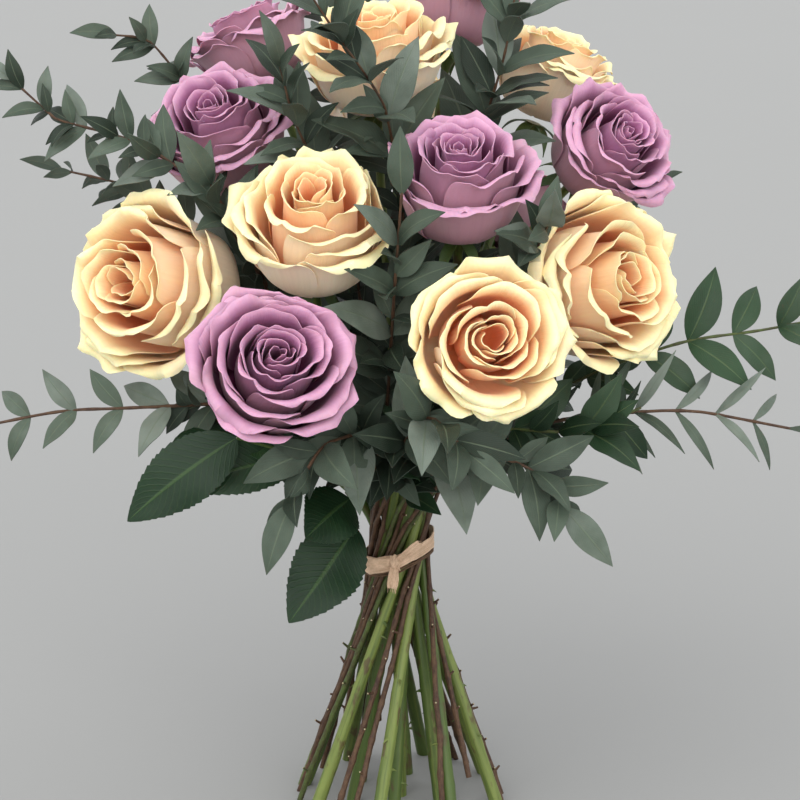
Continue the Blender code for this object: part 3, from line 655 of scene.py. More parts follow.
class Facing(Enum):
    """Where the upper sides of a branch's leaves look."""

    FRONT = (0.0, -0.85, 0.50)
    BACK = (0.0, 0.85, 0.50)
    UPWARD = (0.0, -0.50, 0.85)


@dataclass(frozen=True)
class Branch:
    """One leafy branch: its leaves, where they face, and the route of its upper part."""

    name: str
    kind: Leaves
    facing: Facing
    route: tuple[tuple[float, float, float], ...]
    foot_level: int = 0


@dataclass(frozen=True)
class RoseLeaf:
    """A leaf on a rose stem: where its stalk starts and goes, and its leaflets."""

    stem: str
    height: float
    stalk: tuple[tuple[float, float, float], ...]
    leaflets: tuple[tuple[tuple[float, float, float], tuple[float, float, float], float], ...]


ROSES = (
    Rose("a", Hue.PEACH, (-0.154, -0.075, 0.334), -130, 72, 0.054, 0.082, Ring.OUTER, 1.0),
    Rose("b", Hue.PEACH, (-0.045, -0.092, 0.393), -90, 29, 0.049, 0.072, Ring.INNER, 0.5),
    Rose("c", Hue.LAVENDER, (-0.059, -0.154, 0.320), -76, 52, 0.047, 0.062, Ring.OUTER, 0.6),
    Rose("d", Hue.LAVENDER, (0.031, -0.075, 0.411), -90, 21, 0.047, 0.062, Ring.INNER, 0.3),
    Rose("e", Hue.PEACH, (0.050, -0.153, 0.325), -75, 70, 0.045, 0.058, Ring.OUTER, 0.6, 0.10),
    Rose("f", Hue.PEACH, (0.128, -0.077, 0.337), -50, 73, 0.052, 0.084, Ring.OUTER, 1.0),
    Rose("g", Hue.LAVENDER, (0.129, -0.006, 0.404), -49, 50, 0.042, 0.058, Ring.OUTER, 0.6),
    Rose("h", Hue.LAVENDER, (-0.107, 0.003, 0.419), -122, 31, 0.048, 0.062, Ring.INNER, 0.5),
    Rose("i", Hue.PEACH, (-0.015, 0.005, 0.466), -99, 14, 0.049, 0.062, Ring.CENTRE),
    Rose("j", Hue.PEACH, (0.097, 0.088, 0.440), 0, 20, 0.043, 0.056, Ring.INNER),
    Rose("k", Hue.LAVENDER, (0.036, 0.082, 0.482), 40, 12, 0.042, 0.052, Ring.INNER),
    Rose("l", Hue.LAVENDER, (-0.095, 0.098, 0.453), 160, 26, 0.043, 0.052, Ring.INNER),
    Rose("m", Hue.LAVENDER, (-0.078, 0.133, 0.335), 120, 60, 0.045, 0.052, Ring.OUTER),
    Rose("n", Hue.PEACH, (-0.002, 0.152, 0.392), 90, 50, 0.046, 0.054, Ring.OUTER),
    Rose("o", Hue.LAVENDER, (0.076, 0.138, 0.335), 60, 60, 0.044, 0.052, Ring.OUTER),
)

BRANCHES = (
    Branch("left_upper", Leaves.SILVER, Facing.FRONT,
           ((-0.081, -0.030, 0.334), (-0.101, -0.035, 0.372), (-0.145, -0.035, 0.401),
            (-0.180, -0.035, 0.411), (-0.207, -0.030, 0.433))),
    Branch("left_lower", Leaves.SILVER, Facing.FRONT,
           ((-0.103, -0.060, 0.261), (-0.142, -0.070, 0.262), (-0.182, -0.070, 0.260), (-0.223, -0.070, 0.252))),
    Branch("right_lower", Leaves.NARROW, Facing.FRONT,
           ((0.108, -0.060, 0.255), (0.157, -0.060, 0.257), (0.213, -0.050, 0.244))),
    Branch("right_upper", Leaves.DARK, Facing.FRONT,
           ((0.137, -0.035, 0.283), (0.160, -0.035, 0.290), (0.197, -0.030, 0.294), (0.232, -0.030, 0.301))),
    Branch("centre", Leaves.BROAD, Facing.FRONT,
           ((-0.006, -0.070, 0.275), (-0.003, -0.096, 0.332), (0.001, -0.097, 0.386))),
    Branch("low_left", Leaves.BROAD, Facing.FRONT,
           ((-0.024, -0.098, 0.256), (-0.041, -0.130, 0.258), (-0.056, -0.145, 0.233)), 1),
    Branch("low_centre", Leaves.BROAD, Facing.FRONT,
           ((0.004, -0.110, 0.258), (0.016, -0.140, 0.278), (0.034, -0.154, 0.264))),
    Branch("low_right", Leaves.BROAD, Facing.FRONT,
           ((0.024, -0.100, 0.248), (0.046, -0.125, 0.254), (0.072, -0.135, 0.246), (0.085, -0.140, 0.229)), 1),
    Branch("right_dark", Leaves.DARK, Facing.FRONT,
           ((0.064, -0.080, 0.253), (0.096, -0.085, 0.254), (0.129, -0.070, 0.262))),
    Branch("top_centre", Leaves.BROAD, Facing.UPWARD,
           ((-0.003, -0.024, 0.392), (-0.010, -0.044, 0.424), (-0.029, -0.058, 0.455), (-0.045, -0.062, 0.480))),
    Branch("top_right", Leaves.BROAD, Facing.UPWARD,
           ((0.046, 0.010, 0.403), (0.056, 0.000, 0.438), (0.063, 0.000, 0.480))),
    Branch("far_left", Leaves.SILVER, Facing.FRONT,
           ((-0.122, 0.068, 0.412), (-0.142, 0.066, 0.437), (-0.162, 0.062, 0.442))),
    Branch("gap_left", Leaves.BROAD, Facing.FRONT,
           ((-0.055, -0.020, 0.290), (-0.088, -0.030, 0.345), (-0.101, -0.048, 0.380)), 1),
    Branch("gap_right", Leaves.BROAD, Facing.FRONT,
           ((0.042, -0.037, 0.290), (0.070, -0.066, 0.345), (0.076, -0.094, 0.368)), 1),
    Branch("gap_top", Leaves.BROAD, Facing.UPWARD,
           ((-0.035, -0.010, 0.360), (-0.055, -0.024, 0.405), (-0.064, -0.028, 0.440))),
    Branch("back_left", Leaves.SILVER, Facing.BACK,
           ((-0.110, 0.045, 0.325), (-0.155, 0.055, 0.355), (-0.195, 0.060, 0.365))),
    Branch("back_right", Leaves.SILVER, Facing.BACK,
           ((0.095, 0.070, 0.312), (0.128, 0.092, 0.335), (0.152, 0.108, 0.345))),
    Branch("back_low", Leaves.BROAD, Facing.BACK,
           ((0.000, 0.095, 0.275), (-0.002, 0.135, 0.300), (-0.004, 0.170, 0.298))),
    Branch("back_top", Leaves.BROAD, Facing.BACK,
           ((-0.020, 0.060, 0.380), (-0.034, 0.098, 0.430), (-0.040, 0.125, 0.462)), 1),
)

ROSE_LEAVES = (
    RoseLeaf("c", 0.215, ((-0.052, -0.086, 0.240), (-0.086, -0.098, 0.254)),
             (((-0.052, -0.086, 0.240), (-0.118, -0.105, 0.228), 0.030),
              ((-0.086, -0.098, 0.254), (-0.144, -0.105, 0.210), 0.036))),
    RoseLeaf("c", 0.190, ((-0.030, -0.024, 0.198), (-0.028, -0.040, 0.200), (-0.025, -0.042, 0.184)),
             (((-0.028, -0.040, 0.200), (-0.051, -0.082, 0.192), 0.036),
              ((-0.025, -0.042, 0.184), (-0.061, -0.075, 0.140), 0.041))),
)


@dataclass(frozen=True)
class Taper:
    """The radius of a stem at its cut, at the tie and at its upper end."""

    cut: float
    tie: float
    top: float
    top_height: float
    tie_height: float = 0.156

    def radius(self, height: Array) -> Array:
        """The radius at each height, in straight runs between the three."""
        return np.interp(height, [0, self.tie_height, self.top_height], [self.cut, self.tie, self.top])


ROSE_TAPER = Taper(0.0041, 0.0028, 0.0025, 0.40)
TWIG_TAPER = Taper(0.0017, 0.0013, 0.0009, 0.45)


@dataclass
class Bundle:
    """The paths of all stems, pushed apart where they cross in the waist."""

    level_step: float = 0.026
    tie_level: int = 6
    stem_bow: float = 0.36
    twig_bow: float = 0.30
    stem_gap: float = 0.0004
    tie_pull: float = 0.004
    calyx_length: float = 0.009
    rounds: int = 500

    @property
    def tie_height(self) -> float:
        """The height of the waist."""
        return self.tie_level * self.level_step

    def first_guess(self, turn: float, ring: Ring, target: Array, arrival: Array) -> tuple[Array, Array]:
        """A straight ruling of a hyperboloid below the tie and a Bezier bow above it.

        Args:
            turn: the angle at which the stem passes through the tie.
            ring: its ring there.
            target: where the bow ends.
            arrival: its direction there.

        Returns:
            The foot on the floor, and 41 points of the bow.
        """
        radius, twist = ring.value
        bow = self.twig_bow if ring is Ring.TWIG else self.stem_bow
        waist = np.array([radius * math.cos(turn), radius * math.sin(turn), self.tie_height])
        slope = np.array([-math.sin(turn) * twist, math.cos(turn) * twist, 1.0])
        distance = np.linalg.norm(target - waist)
        handles = (waist, waist + unit(slope) * distance * self.stem_bow, target - arrival * distance * bow, target)
        return waist - slope * self.tie_height, bezier(handles, np.linspace(0, 1, 41))

    def at_levels(self, foot: Array, upper: Array) -> Array:
        """Where a stem crosses each level, from the floor to 20 mm below its upper end."""
        levels = np.arange(int((upper[-1, 2] - 0.02) / self.level_step) + 1) * self.level_step
        share = (levels / self.tie_height)[:, None]
        rising = np.stack([np.interp(levels, upper[:, 2], upper[:, side]) for side in range(2)], -1)
        straight = foot[:2] + (upper[0, :2] - foot[:2]) * share
        return np.where(levels[:, None] < self.tie_height, straight, rising)

    def crossings(self, start: Array, end: Array) -> tuple[Array, Array, Array]:
        """How near each pair of straight stretches passes, from stem i to stem j.

        The offset between two stretches at one height changes in proportion to height.
        Its least length is found, and then the least distance in space from the skew of
        the offset against the mean slope.

        Args:
            start: where each stem crosses the lower level of each stretch.
            end: where it crosses the upper one.

        Returns:
            The direction of the offset, the distance, and the share of the stretch below.
        """
        offset = start[None, :] - start[:, None]
        change = (end - start)[None, :] - (end - start)[:, None]
        size = np.maximum((change**2).sum(-1), 1e-12)
        share = np.clip(-(offset * change).sum(-1) / size, 0, 1)
        nearest = offset + change * share[..., None]
        slope = ((end - start)[None, :] + (end - start)[:, None]) / (2 * self.level_step)
        length = np.maximum(np.linalg.norm(nearest, axis=-1), 1e-6)
        skew = nearest[..., 0] * slope[..., 1] - nearest[..., 1] * slope[..., 0]
        distance = np.sqrt((length**2 + skew**2) / (1 + (slope**2).sum(-1)))
        return nearest / length[..., None], distance, share

    def settle(self, places: list[Array], radii: list[Array]) -> list[Array]:
        """Pushes stems apart, level by level, while the tie draws them in.

        Args:
            places: where each stem crosses the levels.
            radii: its radius there.

        Returns:
            The settled places.
        """
        count = max(len(place) for place in places)
        start = np.full((len(places), count, 2), np.nan)
        radius = np.zeros((len(places), count))
        for index, place in enumerate(places):
            start[index, :len(place)] = place
            radius[index, :len(place)] = radii[index]
        active = ~np.isnan(start[..., 0])
        start = np.nan_to_num(start)
        both = (active[:, None, :-1] & active[:, None, 1:]) & (active[None, :, :-1] & active[None, :, 1:])
        both[np.arange(len(places)), np.arange(len(places))] = False
        inner = active.copy()
        inner[:, :-1] &= active[:, 1:]
        inner[:, -1] = False
        place = start.copy()
        for turn in range(self.rounds):
            along, distance, share = self.crossings(place[:, :-1], place[:, 1:])
            need_start = radius[:, None, :-1] + radius[None, :, :-1]
            need_end = radius[:, None, 1:] + radius[None, :, 1:]
            need = need_start * (1 - share) + need_end * share + self.stem_gap
            lack = np.where(both, np.maximum(need - distance, 0), 0)
            push = along * (lack * 0.5)[..., None]
            move = np.zeros_like(place)
            move[:, :-1] -= (push * (1 - share)[..., None]).sum(1)
            move[:, 1:] -= (push * share[..., None]).sum(1)
            shift = place + move - start
            if turn < self.rounds * 0.6:
                shift[:, 1:-1] += 0.25 * (shift[:, :-2] + shift[:, 2:] - 2 * shift[:, 1:-1]) * inner[:, 1:-1, None]
                shift[:, self.tie_level] -= self.tie_pull * place[:, self.tie_level]
            place = start + shift * inner[..., None]
        return [place[index, :len(item)] for index, item in enumerate(places)]

    @staticmethod
    def share_out(turns: Array) -> Array:
        """Even places round a ring, in the order of the wished ones and nearest to them."""
        order = np.argsort(turns)
        even = np.arange(len(turns)) * 2 * math.pi / len(turns)
        placed = np.empty(len(turns))
        placed[order] = even + (turns[order] - even).mean()
        return placed

    def paths(self) -> dict[str, Array]:
        """The path of every stem, from its cut end to its bloom or its outermost leaf."""
        names, targets, arrivals, tails, rings = [], [], [], [], []
        for rose in ROSES:
            names.append(rose.name)
            targets.append(rose.base - rose.axis * self.calyx_length)
            arrivals.append(rose.axis)
            tails.append(np.array([rose.base]))
            rings.append(rose.ring)
        for branch in BRANCHES:
            route = spline(branch.route, 4)
            names.append(branch.name)
            targets.append(route[0])
            arrivals.append(unit(route[1] - route[0]))
            tails.append(route[1:])
            rings.append(Ring.TWIG)
        leads = [math.acos(min(ring.value[0] / math.hypot(*target[:2]), 1)) for target, ring in zip(targets, rings)]
        turns = np.array([(math.atan2(target[1], target[0]) - lead) % (2 * math.pi)
                          for target, lead in zip(targets, leads)])
        for ring in (Ring.INNER, Ring.OUTER):
            members = [index for index, item in enumerate(rings) if item is ring]
            turns[members] = self.share_out(turns[members])
        guesses = [self.first_guess(*item) for item in zip(turns, rings, targets, arrivals)]
        places = [self.at_levels(foot, upper) for foot, upper in guesses]
        radii = [(TWIG_TAPER if ring is Ring.TWIG else ROSE_TAPER).radius(np.arange(len(place)) * self.level_step)
                 for ring, place in zip(rings, places)]
        paths = {}
        feet = [0] * len(ROSES) + [branch.foot_level for branch in BRANCHES]
        settled = self.settle(places, radii)
        for name, place, (_, upper), tail, level in zip(names, settled, guesses, tails, feet):
            heights = np.arange(len(place)) * self.level_step
            bundle = np.column_stack([place, heights])[level:]
            paths[name] = np.vstack([bundle, upper[upper[:, 2] > heights[-1] + 0.004], tail])
        return paths


def thin_out(points: Array, tolerance: float) -> Array:
    """Keeps only the points that a straight line between their neighbours would miss."""
    if len(points) < 3:
        return points
    line = points[-1] - points[0]
    offset = points - points[0]
    along = np.clip(offset @ line / (line @ line), 0, 1)
    miss = np.linalg.norm(offset - along[:, None] * line, axis=1)
    far = int(miss.argmax())
    if miss[far] < tolerance:
        return points[[0, -1]]
    return np.vstack([thin_out(points[:far + 1], tolerance)[:-1], thin_out(points[far:], tolerance)])


def few_points(path: Array) -> Array:
    """The path with only the points that its bends need, more loosely above 0.26 m."""
    low = int((path[:, 2] < 0.26).sum())
    return np.vstack([thin_out(path[:low], 0.0003)[:-1], thin_out(path[low - 1:], 0.0009)])


# ------------------------------------------------------------------------------ blooms


@dataclass(frozen=True)
class Whorl:
    """One ring of petals in a bloom.

    openness runs from 0 in the heart to 1 outside, turn is its angle against the whole
    bloom, and planned tells a whorl whose petals the node has too.
    """

    count: int
    openness: float
    turn: float
    planned: bool = False


@dataclass
class Bloom:
    """A rose head of overlapping petals, flattened against the blooms round it.

    The lavender roses are close and the peach ones loose, with fewer, larger petals.
    """

    rose: Rose
    seed: int
    thickness: float = 0.00055
    squash_zone: float = 0.010
    squash_gap: float = 0.0004

    PROFILES = (
        (0.00, ((0.02, 0.30), (0.12, 0.35), (0.10, 0.84), (0.04, 0.95)), 2.1),
        (0.20, ((0.04, 0.25), (0.30, 0.25), (0.20, 0.86), (0.20, 0.99)), 1.6),
        (0.35, ((0.06, 0.20), (0.46, 0.20), (0.30, 0.82), (0.34, 1.00)), 1.35),
        (0.60, ((0.08, 0.12), (0.64, 0.10), (0.44, 0.78), (0.59, 0.97)), 1.10),
        (0.75, ((0.08, 0.10), (0.70, 0.06), (0.50, 0.74), (0.76, 0.92)), 0.98),
        (1.00, ((0.10, 0.08), (0.78, 0.02), (0.58, 0.68), (1.00, 0.78)), 0.78),
    )
    CLOSE = (
        Whorl(5, 1.00, 0.0, True), Whorl(4, 0.88, 0.63), Whorl(3, 0.72, 0.4, True), Whorl(3, 0.58, 1.4),
        Whorl(3, 0.45, 0.2), Whorl(2, 0.35, 1.2, True), Whorl(2, 0.27, 2.6), Whorl(3, 0.18, 1.7),
        Whorl(2, 0.09, 0.3), Whorl(2, 0.00, 1.0),
    )
    LOOSE = (
        Whorl(5, 1.00, 0.0, True), Whorl(3, 0.86, 0.63), Whorl(3, 0.72, 0.4, True), Whorl(3, 0.52, 1.4),
        Whorl(2, 0.35, 1.2, True), Whorl(2, 0.30, 2.6), Whorl(3, 0.19, 1.7), Whorl(2, 0.08, 0.3),
    )

    def press_apart(self, points: Array) -> Array:
        """Flattens points against the planes between this bloom and its neighbours.

        Past a border a point's reach is squeezed by 1 - exp(-reach / zone), so it never
        crosses the plane that divides two blooms in the ratio of their radii.
        """
        rose = self.rose
        points = points.copy()
        for _ in range(2):
            for other in ROSES:
                between = other.middle - rose.middle
                distance = np.linalg.norm(between)
                if other is rose or distance > 1.25 * (rose.radius + other.radius):
                    continue
                toward = between / distance
                border = distance * rose.radius / (rose.radius + other.radius) - self.squash_gap
                reach = (points - rose.middle) @ toward - (border - self.squash_zone)
                squeezed = self.squash_zone * (1 - np.exp(-np.maximum(reach, 0) / self.squash_zone))
                points -= np.maximum(reach - squeezed, 0)[..., None] * toward
        return points

    def profile(self, openness: float) -> tuple[Array, float]:
        """The control points and half width of a petal, between the two nearest profiles."""
        keys = [key for key, _, _ in self.PROFILES]
        shapes = np.array([shape for _, shape, _ in self.PROFILES]).reshape(len(keys), -1)
        blended = np.array([np.interp(openness, keys, shapes[:, column]) for column in range(8)]).reshape(4, 2)
        return blended, float(np.interp(openness, keys, [half for _, _, half in self.PROFILES]))

    def petal(self, openness: float, turn: float, lift: float, wave: float, random: np.random.Generator) -> Array:
        """One petal as a cup-shaped sheet wrapped round the rose's axis.

        A profile in radius and height runs from root to rim. Across the petal the angle
        turns by its half width, and the rim is cut lower between two or three corners.
        Between the corners the rim curls back along an arc, and ruffles grow with the
        cube of the way along. The heart is oval: its radius follows the cosine of twice
        the angle and the sine of three times the angle.

        Args:
            openness: 0 in the heart, 1 outside.
            turn: the angle of its middle round the axis.
            lift: how far its rim is raised, in shares of the height.
            wave: the size of the rim's waves.
            random: the source of its own irregularity.

        Returns:
            A grid of points, rows from root to rim.
        """
        rose = self.rose
        side = unit(np.cross(rose.axis, (0.1, 0.2, 1.0)))
        other = np.cross(rose.axis, side)
        rows, columns = (15, 23) if openness > 0.4 else (11, 17)
        across = np.linspace(-1, 1, columns)[None, :]
        along = (1 - (1 - np.linspace(0, 1, rows)) ** 1.3)[:, None]
        shape, half_width = self.profile(openness)
        shape[1, 0] *= 1 + 0.28 * rose.fullness
        phase = random.uniform(0, 6.28)
        corners = np.array([-0.85, 0.0, 0.85]) + random.uniform(-0.28, 0.28, 3)
        cusp = np.exp(-np.abs(across[..., None] - corners).min(-1) / 0.20)
        outline = 1 - 0.15 * np.abs(across) ** 2.6 - 0.085 * (1 - cusp) * (0.25 + 0.75 * openness)
        outline = outline - 0.012 * np.cos(across * 11 + phase) + 0.03 * random.uniform(-1, 1)
        reach = np.clip(along * (1 + (outline - 1) * along), 0, 1.03)
        radial, high = np.moveaxis(bezier(shape, reach), -1, 0)
        step = bezier(shape, reach) - bezier(shape, reach - 0.02)
        tangent = unit(step)
        curled = np.maximum(reach - 0.72, 0) / 0.28
        theta = (0.25 + 1.9 * openness) * rose.curl * curled * (1 - 0.65 * cusp) * random.uniform(0.6, 1.2) + 1e-4
        arc = 0.30 * curled
        radial = radial + arc * (tangent[..., 0] * (np.sin(theta) / theta - 1) + tangent[..., 1] * (1 - np.cos(theta)) / theta)
        high = high + arc * (tangent[..., 1] * (np.sin(theta) / theta - 1) - tangent[..., 0] * (1 - np.cos(theta)) / theta)
        high = high + (lift - rose.cup * (1 - openness) ** 2 * 1.3) * along
        radial = radial * (1 + (0.05 + 0.14 * (1 - openness)) * across * along)
        ruffle = along**3 * (np.sin(across * 6.5 + phase) + 0.5 * np.sin(across * 15 + phase * 2.3))
        high = high + (wave * np.cos(across * 7) * along**2 + 0.010 * ruffle * (0.1 + openness))
        radial = radial + 0.014 * ruffle * np.sin(phase) * openness
        width = half_width * (0.35 + 0.65 * np.sin(math.pi * np.minimum(along * 0.62 + 0.12, 1)))
        angle = turn + across * width
        oval = np.cos(2 * (angle - rose.grain)) + 0.5 * np.sin(3 * (angle + rose.grain))
        radial = radial * (1 + 0.13 * (1 - openness) * oval * along)
        ring = np.cos(angle)[..., None] * side + np.sin(angle)[..., None] * other
        grid = rose.base + (high * rose.height)[..., None] * rose.axis + (radial * rose.radius)[..., None] * ring
        return self.press_apart(grid)

    def build(self, finish: bpy.types.Material) -> bpy.types.Object:
        """Makes all petals, the planned ones where the node has them."""
        planned = np.random.default_rng(self.seed)
        own = np.random.default_rng(self.seed + 500)
        whole = planned.uniform(0, 2 * math.pi)
        skin = Skin()
        for whorl in self.LOOSE if self.rose.hue is Hue.PEACH else self.CLOSE:
            for index in range(whorl.count):
                source = planned if whorl.planned else own
                turn = whole + whorl.turn + index * 2 * math.pi / whorl.count + source.uniform(-0.06, 0.06)
                lift, wave = source.uniform(-0.05, 0.03), source.uniform(-0.03, 0.03)
                calm = 1.0 if whorl.planned else 0.25 + 0.75 * whorl.openness
                openness = whorl.openness + (0.0 if whorl.planned else own.uniform(-0.03, 0.03))
                grid = self.petal(float(np.clip(openness, 0, 1)), turn, lift * calm, wave * calm, own)
                share = np.linspace(0, 1, len(grid))[:, None]
                thick = self.thickness * (1 - 0.45 * ease(share, 0.8, 1.0)) * (0.5 + 0.5 * ease(share, 0.0, 0.2))
                skin.blade(grid, thick, (whorl.openness, own.uniform(0, 1), 0.0))
        return skin.build("petals_" + self.rose.name, finish)


def in_bloom(points: Array) -> Array:
    """Whether points lie in a bloom, by the radius that a goblet has at their height."""
    inside = np.zeros(points.shape[:-1], bool)
    for rose in ROSES:
        offset = points - rose.base
        high = offset @ rose.axis
        out = np.linalg.norm(offset - high[..., None] * rose.axis, axis=-1) / rose.radius
        share = high / rose.height
        reach = np.interp(share, (-0.05, 0.0, 0.1, 0.3, 0.6, 0.8, 1.0), (0.0, 0.3, 0.55, 0.70, 0.82, 1.02, 0.95))
        inside |= (share > -0.05) & (share < 1.02) & (out < reach)
    return inside


# --------------------------------------------------------------------- stems and leaves


@dataclass(frozen=True)
class LeafBlade:
    """A leaf's blade: a pointed outline, folded at its midrib, drooping and waved."""

    root: Array
    tip: Array
    normal: Array
    width: float
    droop: float
    serrated: bool = False
    fine: bool = True

    def is_free(self) -> bool:
        """Whether the blade, between a third of its length and its tip, is outside all blooms."""
        side = unit(np.cross(self.normal, self.tip - self.root)) * self.width / 2
        middle = self.root + np.outer((0.3, 0.5, 0.75, 1.0), self.tip - self.root)
        return not in_bloom(np.vstack([middle, middle[:3] + side, middle[:3] - side])).any()

    def grid(self, random: np.random.Generator) -> Array:
        """The blade's points.

        The middle line bows by the droop times 4t(1 - t). The half width follows the
        sine of pi times t to the power 0.8, the two halves are folded up a little, and
        a serrated margin adds a saw tooth that leans to the tip.

        Args:
            random: the source of the leaf's own twist and wave.

        Returns:
            Rows along by columns across by 3 points.
        """
        rows, columns = ((71, 9) if self.fine else (27, 5)) if self.serrated else ((15, 7) if self.fine else (11, 5))
        along = self.tip - self.root
        length = np.linalg.norm(along)
        side = unit(np.cross(self.normal, along))
        lift = unit(np.cross(along, side))
        t = np.linspace(0, 1, rows)[:, None]
        u = np.linspace(-1, 1, columns)[None, :]
        half = self.width / 2 * np.sin(math.pi * t**0.8) ** (0.8 if self.serrated else 0.95)
        if self.serrated:
            tooth = (t * (17.5 if self.fine else 9) + 0.25 * np.sin(t * 23)) % 1.0
            half = half * (1 - 0.075 * tooth * ease(t, 0.02, 0.2))
        stalk = 0.00045 * (1 - ease(t, 0.9, 1.0)) + 0.00012
        half = np.maximum(half, stalk)
        twist = random.uniform(-0.25, 0.25) * (t - 0.3)
        wave = random.uniform(0.0, 0.05) * np.sin(t * random.uniform(8, 13) + random.uniform(0, 6)) * u
        fold = (0.24 + 0.2 * random.uniform(-1, 1)) * np.abs(u) ** 1.4 - 0.10 * u**4
        rise = length * self.droop * 4 * t * (1 - t) + half * (fold + wave * 3 + twist * u)
        bend = random.uniform(-0.05, 0.05) * length * t * (1 - t) * 2
        middle = self.root + along * t[..., None]
        return middle + side * (u * half + bend)[..., None] + lift * rise[..., None]


@dataclass
class RoseStem:
    """A rose's stem with its prickles, scars, hip and reflexed sepals."""

    rose: Rose
    path: Array
    seed: int
    sides: int = 14
    hip_radius: float = 0.0050

    def shaft(self, skin: Skin) -> None:
        """The stem: its radius tapers, swells a little at the leaf scars and at the hip."""
        path = spline(self.path, 5)
        path = path[:-1] if np.allclose(path[-1], path[-2]) else path
        path[-1] -= self.rose.axis * SEAT_GAP
        random = np.random.default_rng(self.seed + 70)
        distance = travelled(path)
        left = distance[-1] - distance
        radii = ROSE_TAPER.radius(path[:, 2]) * 0.97
        for place in np.arange(0.02, distance[-1] - 0.06, 0.047) + random.uniform(0, 0.02):
            radii = radii * (1 + 0.10 * np.exp(-((distance - place) / 0.0035) ** 2))
        hip = ease(left, 0.012, 0.003)
        radii = np.where(left < 0.012, radii + (self.hip_radius - radii) * hip, radii)
        skin.tube(path, radii, self.sides, (0.0, random.uniform(0, 1), 0.0), True)

    def prickles(self, skin: Skin) -> None:
        """Hooked prickles: short cones whose tip bends down."""
        random = np.random.default_rng(self.seed + 90)
        path = spline(self.path, 5)
        for height in random.uniform(0.012, 0.21, 6):
            if abs(height - 0.156) < 0.022:
                continue
            middle = np.array([np.interp(height, path[:, 2], path[:, side]) for side in range(3)])
            turn = random.uniform(0, 2 * math.pi)
            out = np.array([math.cos(turn), math.sin(turn), 0.0])
            t = np.linspace(0, 1, 5)
            start = ROSE_TAPER.radius(np.array(height)) * 0.8
            line = middle + out * (start + 0.0042 * t)[:, None] + np.array([0, 0, -0.0016]) * (t**2)[:, None]
            skin.tube(line, 0.0014 * (1 - t) ** 1.2 + 0.00008, 7, (0.0, random.uniform(0, 1), 0.0))

    def sepals(self, skin: Skin) -> None:
        """Five narrow sepals that bend down from under the bloom."""
        random = np.random.default_rng(self.seed + 110)
        axis = self.rose.axis
        side = unit(np.cross(axis, (0.1, 0.2, 1.0)))
        other = np.cross(axis, side)
        t = np.linspace(0, 1, 13)[:, None]
        u = np.linspace(-1, 1, 5)[None, :]
        for index in range(5):
            turn = index * 2 * math.pi / 5 + random.uniform(-0.2, 0.2)
            out = math.cos(turn) * side + math.sin(turn) * other
            tangent = np.cross(axis, out)
            length = random.uniform(0.019, 0.026)
            bend = random.uniform(0.5, 0.9)
            reach = 0.0042 + length * np.sin(t * 1.25) / 1.25 * 0.9
            drop = -0.0016 - length * bend * t**1.8
            half = 0.0032 * np.sin(math.pi * np.minimum(t * 0.8 + 0.22, 1)) ** 0.8 * (1 - t**4) + 0.00015
            grid = (self.rose.base + out * reach[..., None] + axis * (drop + 0.22 * half * u**2)[..., None]
                    + tangent * (half * u)[..., None])
            skin.blade(grid, 0.00045, (1.0, random.uniform(0, 1), 0.0))

    def build(self, finish: bpy.types.Material) -> bpy.types.Object:
        """Makes the whole stem."""
        skin = Skin()
        self.shaft(skin)
        self.prickles(skin)
        self.sepals(skin)
        return skin.build("rose_stem_" + self.rose.name, finish)


